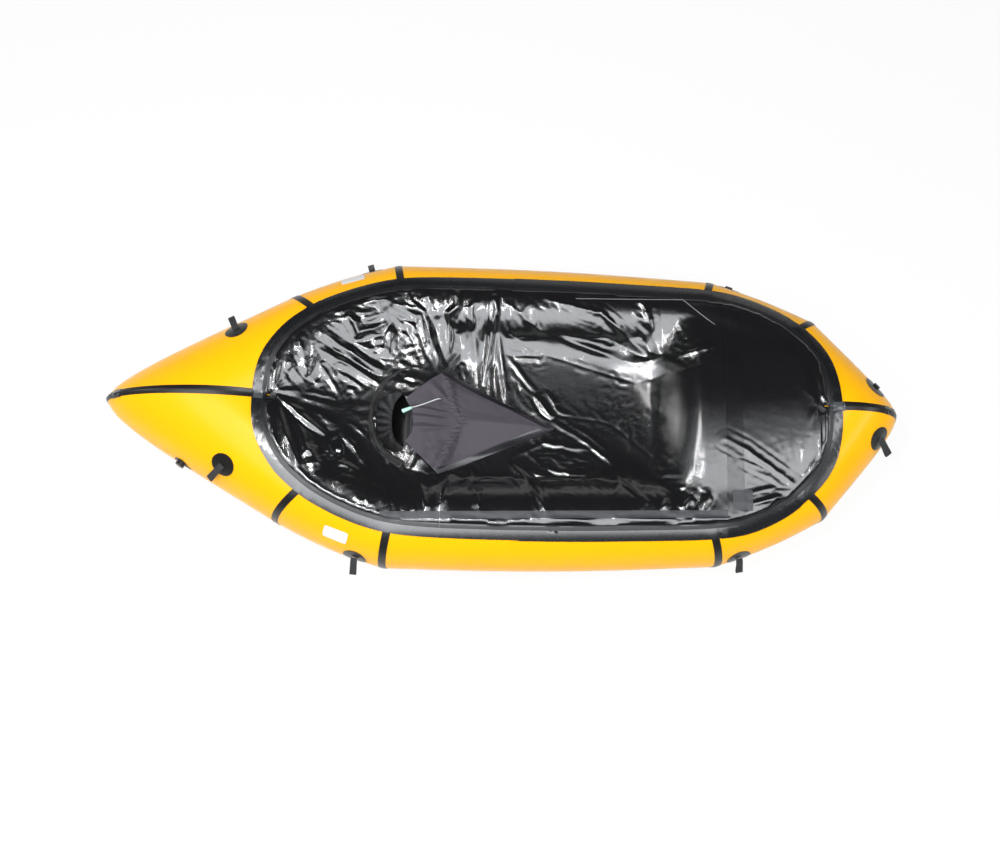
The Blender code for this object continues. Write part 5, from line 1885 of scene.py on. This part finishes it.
@dataclass
class Drawcord:
    """The tunnel's white drawcord and its tapered pull, lying on the folded front."""

    tree: BVHTree
    level: float = 0.262
    radius: float = 0.0015
    pull_length: float = 0.030
    pull_radii: Pair = (0.0045, 0.0065)
    pull_profile: Sequence[Pair] = (
        (0, 0.0), (0, 0.75), (0.03, 1.0), (0.5, 1.0), (0.93, 1.0), (1, 0.93), (1, 0.0),
    )
    route: Sequence[Pair] = (
        (-0.176, 0.0215), (-0.186, 0.0190), (-0.205, 0.0095), (-0.235, -0.0050), (-0.261, -0.0168),
    )

    def over(self, x: float, y: float, reach: float) -> float:
        """Return the height that clears the surface round a plan point.

        Args:
            x: Place along the boat.
            y: Place across it.
            reach: How far round the point to look.

        Returns:
            The height in metres.
        """
        spots = [(x + reach * i, y + reach * j) for i in (-1, 0, 1) for j in (-1, 0, 1)]
        found = [z for z in (Bench.drop(self.tree, *spot) for spot in spots) if z is not None]
        return max(found, default=self.level)

    def line(self, steps: int = 8) -> list[Vector]:
        """Return the cord's centre line as an even smooth run of points.

        Args:
            steps: Number of stretches between two of its plan points.

        Returns:
            The points.
        """
        points = [Vector((x, y, self.over(x, y, self.radius) + self.radius + 0.0004)) for x, y in self.route]
        points[0].z -= 3 * self.radius
        points[-1].z = max(points[-1].z, self.over(*self.route[-1], 0.006) + self.pull_radii[1])
        out = []
        for i in range(len(points) - 1):
            before, after = points[max(i - 1, 0)], points[min(i + 2, len(points) - 1)]
            a, b = points[i], points[i + 1]
            for step in range(steps):
                t = step / steps
                out.append(0.5 * (2 * a + (b - before) * t + (2 * before - 5 * a + 4 * b - after) * t * t
                                  + (3 * a - before - 3 * b + after) * t ** 3))
        return out + [points[-1]]

    def build(self) -> None:
        """Build the cord and its pull."""
        line = self.line()
        cord = Bench.swept("waist_drawcord_laid", [line[0]] + line, [CLOSED] + [self.radius] * len(line))
        Bench.dress(cord, CORD_WHITE, HULL_BODY, "cord", "waist_drawcord")
        run = line[-1] - line[-3]
        run.z = 0
        run.normalize()
        small, big = self.pull_radii
        spots = [line[-1] + run * (self.pull_length * share + 0.0002) for share, _ in self.pull_profile]
        wide = [max((small + (big - small) * share) * full, CLOSED) for share, full in self.pull_profile]
        pull = Bench.swept("drawcord_pull_laid", spots, wide, 24)
        Bench.dress(pull, PULL_MINT, HULL_BODY, "cord_pull", "drawcord_pull")


@dataclass
class TunnelBack:
    """The back of the waist tunnel, which stands round the rear of its mouth."""

    frame: dict
    tree: BVHTree
    gather: float = 0.008
    pleat: float = 0.0022
    pleats: float = 19
    gather_size: float = 0.012
    middle: Pair = (-0.29, -0.052)
    thickness: float = 0.0008
    lift: float = 0.0012

    def build(self) -> None:
        """Build the back as a gathered band that hangs into the mouth."""
        back = Bench.copy_node(self.frame, "waist_tunnel_back", "waist_tunnel_back_sheet")
        Bench.keep_faces(back, lambda face: face.normal.z > 0.15)
        Bench.subdivide(back, 3)
        low, high = (corner.z for corner in Bench.corners(back))
        for vertex in back.data.vertices:
            spot = vertex.co
            share = (spot.z - low) / (high - low)
            pucker = noise.ridged_multi_fractal(spot / self.gather_size, 1.0, 2.0, 2, 1.0, 2.0)
            spot.z += self.gather * (pucker - 0.8) * ease((share - 0.55) / 0.4)
            turn = math.atan2(spot.y - self.middle[1], spot.x - self.middle[0])
            spot.z += self.pleat * math.sin(turn * self.pleats + 3 * noise.noise(spot * 25)) * ease(share / 0.4)
            under = Bench.drop(self.tree, spot.x, spot.y)
            if under is not None and share > 0.6:
                spot.z = max(spot.z, under + self.lift)
        Bench.modify(back, "SMOOTH", factor=0.3, iterations=1)
        area = Bench.area(back)
        Bench.plan_fabric(back)
        Bench.thicken(back, self.thickness, 1, 70, closed=False)
        # The darker back finish paints the shade on the tunnel's rear
        Bench.dress(back, BACK_NYLON_SHADED, HULL_BODY, "tunnel_nylon", "waist_tunnel_back")


@dataclass
class Pad:
    """An inflated or foam pad that bulges between its welded lines."""

    frame: dict
    node: str
    body: str
    cell: float = 0.007
    weld_depth: float = 0.005
    weld_width: float = 0.007
    foot: float = 0.004
    frames: int = 8
    rules: dict = field(default_factory=lambda: {
        "quality": 4, "mass": 0.3, "tension_stiffness": 80, "compression_stiffness": 80, "bending_stiffness": 3,
        "use_pressure": True, "uniform_pressure_force": 1.2})
    along: int = 0
    welds: Sequence[float] = (-0.28, -0.20, -0.12)

    def _from_weld(self, spot: Vector) -> float:
        """Return how far a point is from the nearest welded line."""
        return min(abs(spot[self.along] - weld) for weld in self.welds)

    def build(self) -> None:
        """Build the pad."""
        pad = Bench.copy_node(self.frame, self.node, f"{self.node}_pad")
        Bench.outwards(pad)
        Bench.modify(pad, "REMESH", mode="VOXEL", voxel_size=self.cell)
        Bench.modify(pad, "SMOOTH", factor=0.6, iterations=3)
        for vertex in pad.data.vertices:
            dent = self.weld_depth * math.exp(-(self._from_weld(vertex.co) / self.weld_width) ** 2)
            vertex.co -= vertex.normal * dent
        low = Bench.corners(pad)[0].z + self.foot
        held = [v.index for v in pad.data.vertices if self._from_weld(v.co) < self.weld_width or v.co.z < low]
        Bench.simulate(pad, held, self.frames, self.rules, {"use_collision": False}, gravity=0)
        Bench.plan_fabric(pad)
        Bench.smooth(pad, 80)
        Bench.dress(pad, SEAT_COATED, self.body, "seat_fabric", self.node)


@dataclass
class FloorSheet:
    """The floor, laid under the tubes and drawn tight between them."""

    frame: dict
    thickness: float = 0.0010
    ripple: float = 0.0006

    def build(self) -> None:
        """Build the floor sheet."""
        floor = Bench.copy_node(self.frame, "floor_sheet", "floor_sheet_laid")
        Bench.keep_faces(floor, lambda face: face.normal.z < -0.5)
        Bench.subdivide(floor, 4)
        Bench.modify(floor, "SMOOTH", factor=0.5, iterations=6)
        for vertex in floor.data.vertices:
            spot = vertex.co
            spot.z = max(spot.z + self.ripple * (1 + noise.noise(spot * 14)), 0.0002)
        area, corners = Bench.area(floor), Bench.corners(floor)
        Bench.plan_fabric(floor)
        Bench.thicken(floor, self.thickness, -1, 60, closed=False)
        Bench.dress(floor, FLOOR_COATED, HULL_BODY, "floor_fabric", "floor_sheet")
        Bench.declare(floor, area, corners, "stretched")


@dataclass(frozen=True)
class SoftBox:
    """One soft studio lamp: where it hangs, where it points, its size, power and colour."""

    name: str
    place: Triple
    aim: Triple
    size: Pair
    power: float
    colour: Triple


@dataclass
class Studio:
    """Floor, world, lamps and camera."""

    camera_place: Triple = (0.005, -0.035, 0.15)
    camera_distance: float = 3.0
    tilt: float = 14.8
    swing: float = 0.1
    roll: float = 1.53
    lens: float = 34.70
    sensor: float = 36
    dome: Sequence[tuple[float, Triple]] = (
        (0.05, (0.45, 0.45, 0.45)), (0.40, (0.035, 0.035, 0.037)),
    )
    floor_glow: float = 0.92
    lamps: Sequence[SoftBox] = (
        SoftBox("ceiling", (-0.25, -1.15, 3.3), (-0.25, -1.15, 0.2), (4.8, 2.6), 175, (0.94, 0.97, 1)),
        SoftBox("hot_spot", (-0.72, -0.14, 3.5), (0, 0, 0.2), (0.36, 0.26), 48, (1, 1, 1)),
        SoftBox("port_fill", (0.0, 3.6, 1.2), (0, 0, 0.25), (4.0, 0.8), 3.5, (1, 1, 1)),
        SoftBox("stern_strip", (-3.2, 0.3, 2.0), (0, 0, 0.25), (1.6, 0.5), 22, (1, 1, 1)),
        SoftBox("bow_strip", (3.2, -0.4, 2.0), (0, 0, 0.25), (1.6, 0.5), 18, (1, 1, 1)),
    )

    def build(self) -> None:
        """Set the studio up."""
        self._world()
        self._floor()
        for lamp in self.lamps:
            self._lamp(lamp)
        self._camera()
        bpy.context.scene.view_settings.view_transform = "Standard"

    def _world(self) -> None:
        """Light the scene with a dome, pale at the horizon and dim overhead."""
        world = bpy.data.worlds.new("studio_dome")
        bpy.context.scene.world = world
        wiring = Wiring(world)
        place = wiring.add("TexCoord")["Generated"]
        ramp = wiring.nodes.new("ShaderNodeValToRGB")
        for index, (position, colour) in enumerate(self.dome):
            ramp.color_ramp.elements[index].position = position
            ramp.color_ramp.elements[index].color = (*colour, 1)
        wiring.feed(ramp, {"Fac": wiring.add("SeparateXYZ", {"Vector": place})["Z"]})
        seen = wiring.add("LightPath")["Is Camera Ray"]
        sky = {"A": ramp.outputs["Color"], "B": (1, 1, 1, 1), "Factor": seen}
        colour = wiring.add("Mix", sky, data_type="RGBA")["Result"]
        wiring.feed(wiring.nodes["Background"], {"Color": colour, "Strength": 1.0})

    def _floor(self) -> None:
        """Lay the pale floor, which keeps a soft shadow and shows white."""
        Bench.deselect()
        bpy.ops.mesh.primitive_plane_add(size=60, location=(0, 0, -0.0005))
        floor = bpy.context.object
        floor.name = "studio_floor"
        paint = bpy.data.materials.new("studio_floor_paint")
        wiring = Wiring(paint)
        shader = wiring.nodes["Principled BSDF"]
        wiring.feed(shader, {"Base Color": (0.85, 0.85, 0.85, 1), "Roughness": 0.9, "Specular IOR Level": 0.0})
        seen = wiring.add("LightPath")["Is Camera Ray"]
        share = wiring.add("Math", {0: seen, 1: self.floor_glow}, operation="MULTIPLY")["Value"]
        glow = wiring.add("Emission")["Emission"]
        mix = wiring.add("MixShader", {"Fac": share, 1: shader.outputs["BSDF"], 2: glow})["Shader"]
        wiring.feed(wiring.nodes["Material Output"], {"Surface": mix})
        floor.data.materials.append(paint)

    def _lamp(self, lamp: SoftBox) -> None:
        """Hang one lamp.

        Args:
            lamp: Its place, size and strength.
        """
        data = bpy.data.lights.new(lamp.name, "AREA")
        data.shape = "RECTANGLE"
        data.size, data.size_y = lamp.size
        data.energy = lamp.power
        data.color = lamp.colour
        obj = bpy.data.objects.new(lamp.name, data)
        obj.location = lamp.place
        obj.rotation_euler = (Vector(lamp.aim) - Vector(lamp.place)).to_track_quat("-Z", "Y").to_euler()
        bpy.context.scene.collection.objects.link(obj)

    def _camera(self) -> None:
        """Stand the camera at the photograph's viewing angle."""
        tilt, swing, roll = (math.radians(a) for a in (self.tilt, self.swing, self.roll))
        back = Vector((math.sin(swing), -math.sin(tilt) * math.cos(swing), math.cos(tilt) * math.cos(swing)))
        right = Vector((0, 1, 0)).cross(back).normalized()
        up = back.cross(right)
        turned_right = right * math.cos(roll) + up * math.sin(roll)
        turned_up = up * math.cos(roll) - right * math.sin(roll)
        data = bpy.data.cameras.new("camera")
        data.lens = self.lens
        data.sensor_width = self.sensor
        data.clip_end = 100
        camera = bpy.data.objects.new("camera", data)
        place = Vector(self.camera_place) + back * self.camera_distance
        camera.matrix_world = Matrix.Translation(place) @ Matrix((turned_right, turned_up, back)).transposed().to_4x4()
        bpy.context.scene.collection.objects.link(camera)
        bpy.context.scene.camera = camera


# Small sheets on the finished boat: name, two corners, lift, bump, finish and slot
DETAIL_PATCHES = (
    ("stern_tab", (-0.722, -0.016), (-0.690, 0.010), 0.0012, 0.0006, CLEAR_TAB, "band_fabric"),
    ("bow_tab", (0.972, -0.016), (1.010, 0.010), 0.0012, 0.0006, CLEAR_TAB, "band_fabric"),
    ("stern_cover", (-0.696, -0.017), (-0.660, 0.007), 0.004, 0.0003, DARK_EDGE, "band_fabric"),
    ("bow_cover", (0.934, -0.017), (0.974, 0.009), 0.004, 0.0003, DARK_EDGE, "band_fabric"),
    ("stern_end_film", (-1.160, -0.013), (-1.128, 0.013), 0.0012, 0.0012, END_FILM, "tape_fabric"),
    ("bow_end_film", (1.135, -0.013), (1.160, 0.013), 0.0012, 0.0012, END_FILM, "tape_fabric"),
)

# The stitch dashes and the tack at the aft corner of the flap's hem, and the cord's eyelet, in plan
HEM_DASHES = [((-0.163, y), (-0.1625, y - 0.007)) for y in np.arange(-0.275, -0.395, -0.012)]
HEM_TACK = [((-0.3575 + 0.004 * k, -0.3300), (-0.3545 + 0.004 * k, -0.3370)) for k in range(3)]
EYELET = [(-0.1780 + 0.0038 * math.cos(k * math.tau / 16), 0.0205 + 0.0038 * math.sin(k * math.tau / 16))
          for k in range(16)]

# The CAD nodes that stay and are only given a finish
PLASTIC_NODES = ("seat_valve", "valve_body", "valve_cap", "valve_tether")


def build_details(tree: BVHTree) -> None:
    """Build the small welded and stitched details that lie on the finished boat.

    Args:
        tree: Search tree of the finished boat.
    """
    # The flap's weld line is drawn light grey, a painted highlight along its edge
    LaidLine(tree, 0.0015).build("flap_weld", [FLAP_WELD], WELD_HIGHLIGHT, "band_fabric", FLAP_BODY)
    LaidLine(tree, 0.0007, 0.003).build("hem_stitching", HEM_DASHES, THREAD, "band_fabric")
    LaidLine(tree, 0.0007, 0.003).build("hem_tack", HEM_TACK, THREAD, "band_fabric")
    for name, low, high, lift, bump, finish, slot in DETAIL_PATCHES:
        LaidPatch(tree, low, high, lift, bump).build(name, finish, slot)
    LaidLine(tree, 0.0016, 0.002).build("cord_eyelet", [EYELET], BLACK_PLASTIC, "black_plastic")


def dress_nodes(frame: dict) -> None:
    """Give the CAD nodes that stay their finish.

    Args:
        frame: The loaded frame.
    """
    for name in PLASTIC_NODES:
        materials = frame["nodes"][name].data.materials
        materials.clear()
        materials.append(BLACK_PLASTIC.build())


def main() -> None:
    """Dress the whole boat."""
    logging.basicConfig(level=logging.INFO, format="%(message)s")
    for obj in list(bpy.data.objects):
        bpy.data.objects.remove(obj)
    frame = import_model()
    Studio().build()
    hull = Hull()
    hull.build()
    skins = Bench.tree(hull.tubes)
    tapes = SeamTapes(hull, skins)
    tapes.build_ends()
    trim = LaidTrim(frame, skins)
    for name in frame["nodes"]:
        if name.startswith("tie_patch_"):
            trim.make(name, BLACK_TAPE, "tape_fabric", lift=0.0008)
        elif name.startswith("label_patch_"):
            trim.make(name, LABEL_WHITE, "label_patch", lift=0.0006)
        elif name == "valve_flange":
            trim.make(name, BLACK_PLASTIC, "black_plastic", lift=0.0008)
    tapes.build_mitres()
    TieLoops(frame, skins).build()
    band = LaidTrim(frame, skins, lift=0.0032, thickness=0.0010, relax=4).make("deck_band", SLATE_BAND, "band_fabric")
    deck = SprayDeck(frame, skins)
    deck.cut(deck.build_master())
    deck.finish()
    sheets = list(deck.sheets.values())
    deck_tree = Bench.tree(sheets)
    edge = EdgeTape(deck, Bench.tree([*sheets, band])).build()
    TunnelBack(frame, deck_tree).build()
    tunnel = WaistTunnel(deck_tree)
    front = tunnel.build_front()
    tunnel.build_margins()
    on_top = Bench.tree([*sheets, front])
    FloorSheet(frame).build()
    Pad(frame, "seat_cushion", HULL_BODY).build()
    Pad(frame, "backrest", BACKREST_BODY, along=2, welds=(0.045, 0.088)).build()
    upon = LaidTrim(frame, on_top, lift=0.0012, thickness=0.0008, from_above=True)
    upon.make("strip_patch", HEM_GREY, "band_fabric")
    Drawcord(on_top).build()
    build_details(Bench.tree([*sheets, front, band, edge, *hull.tubes]))
    dress_nodes(frame)


if __name__ == "__main__":
    main()
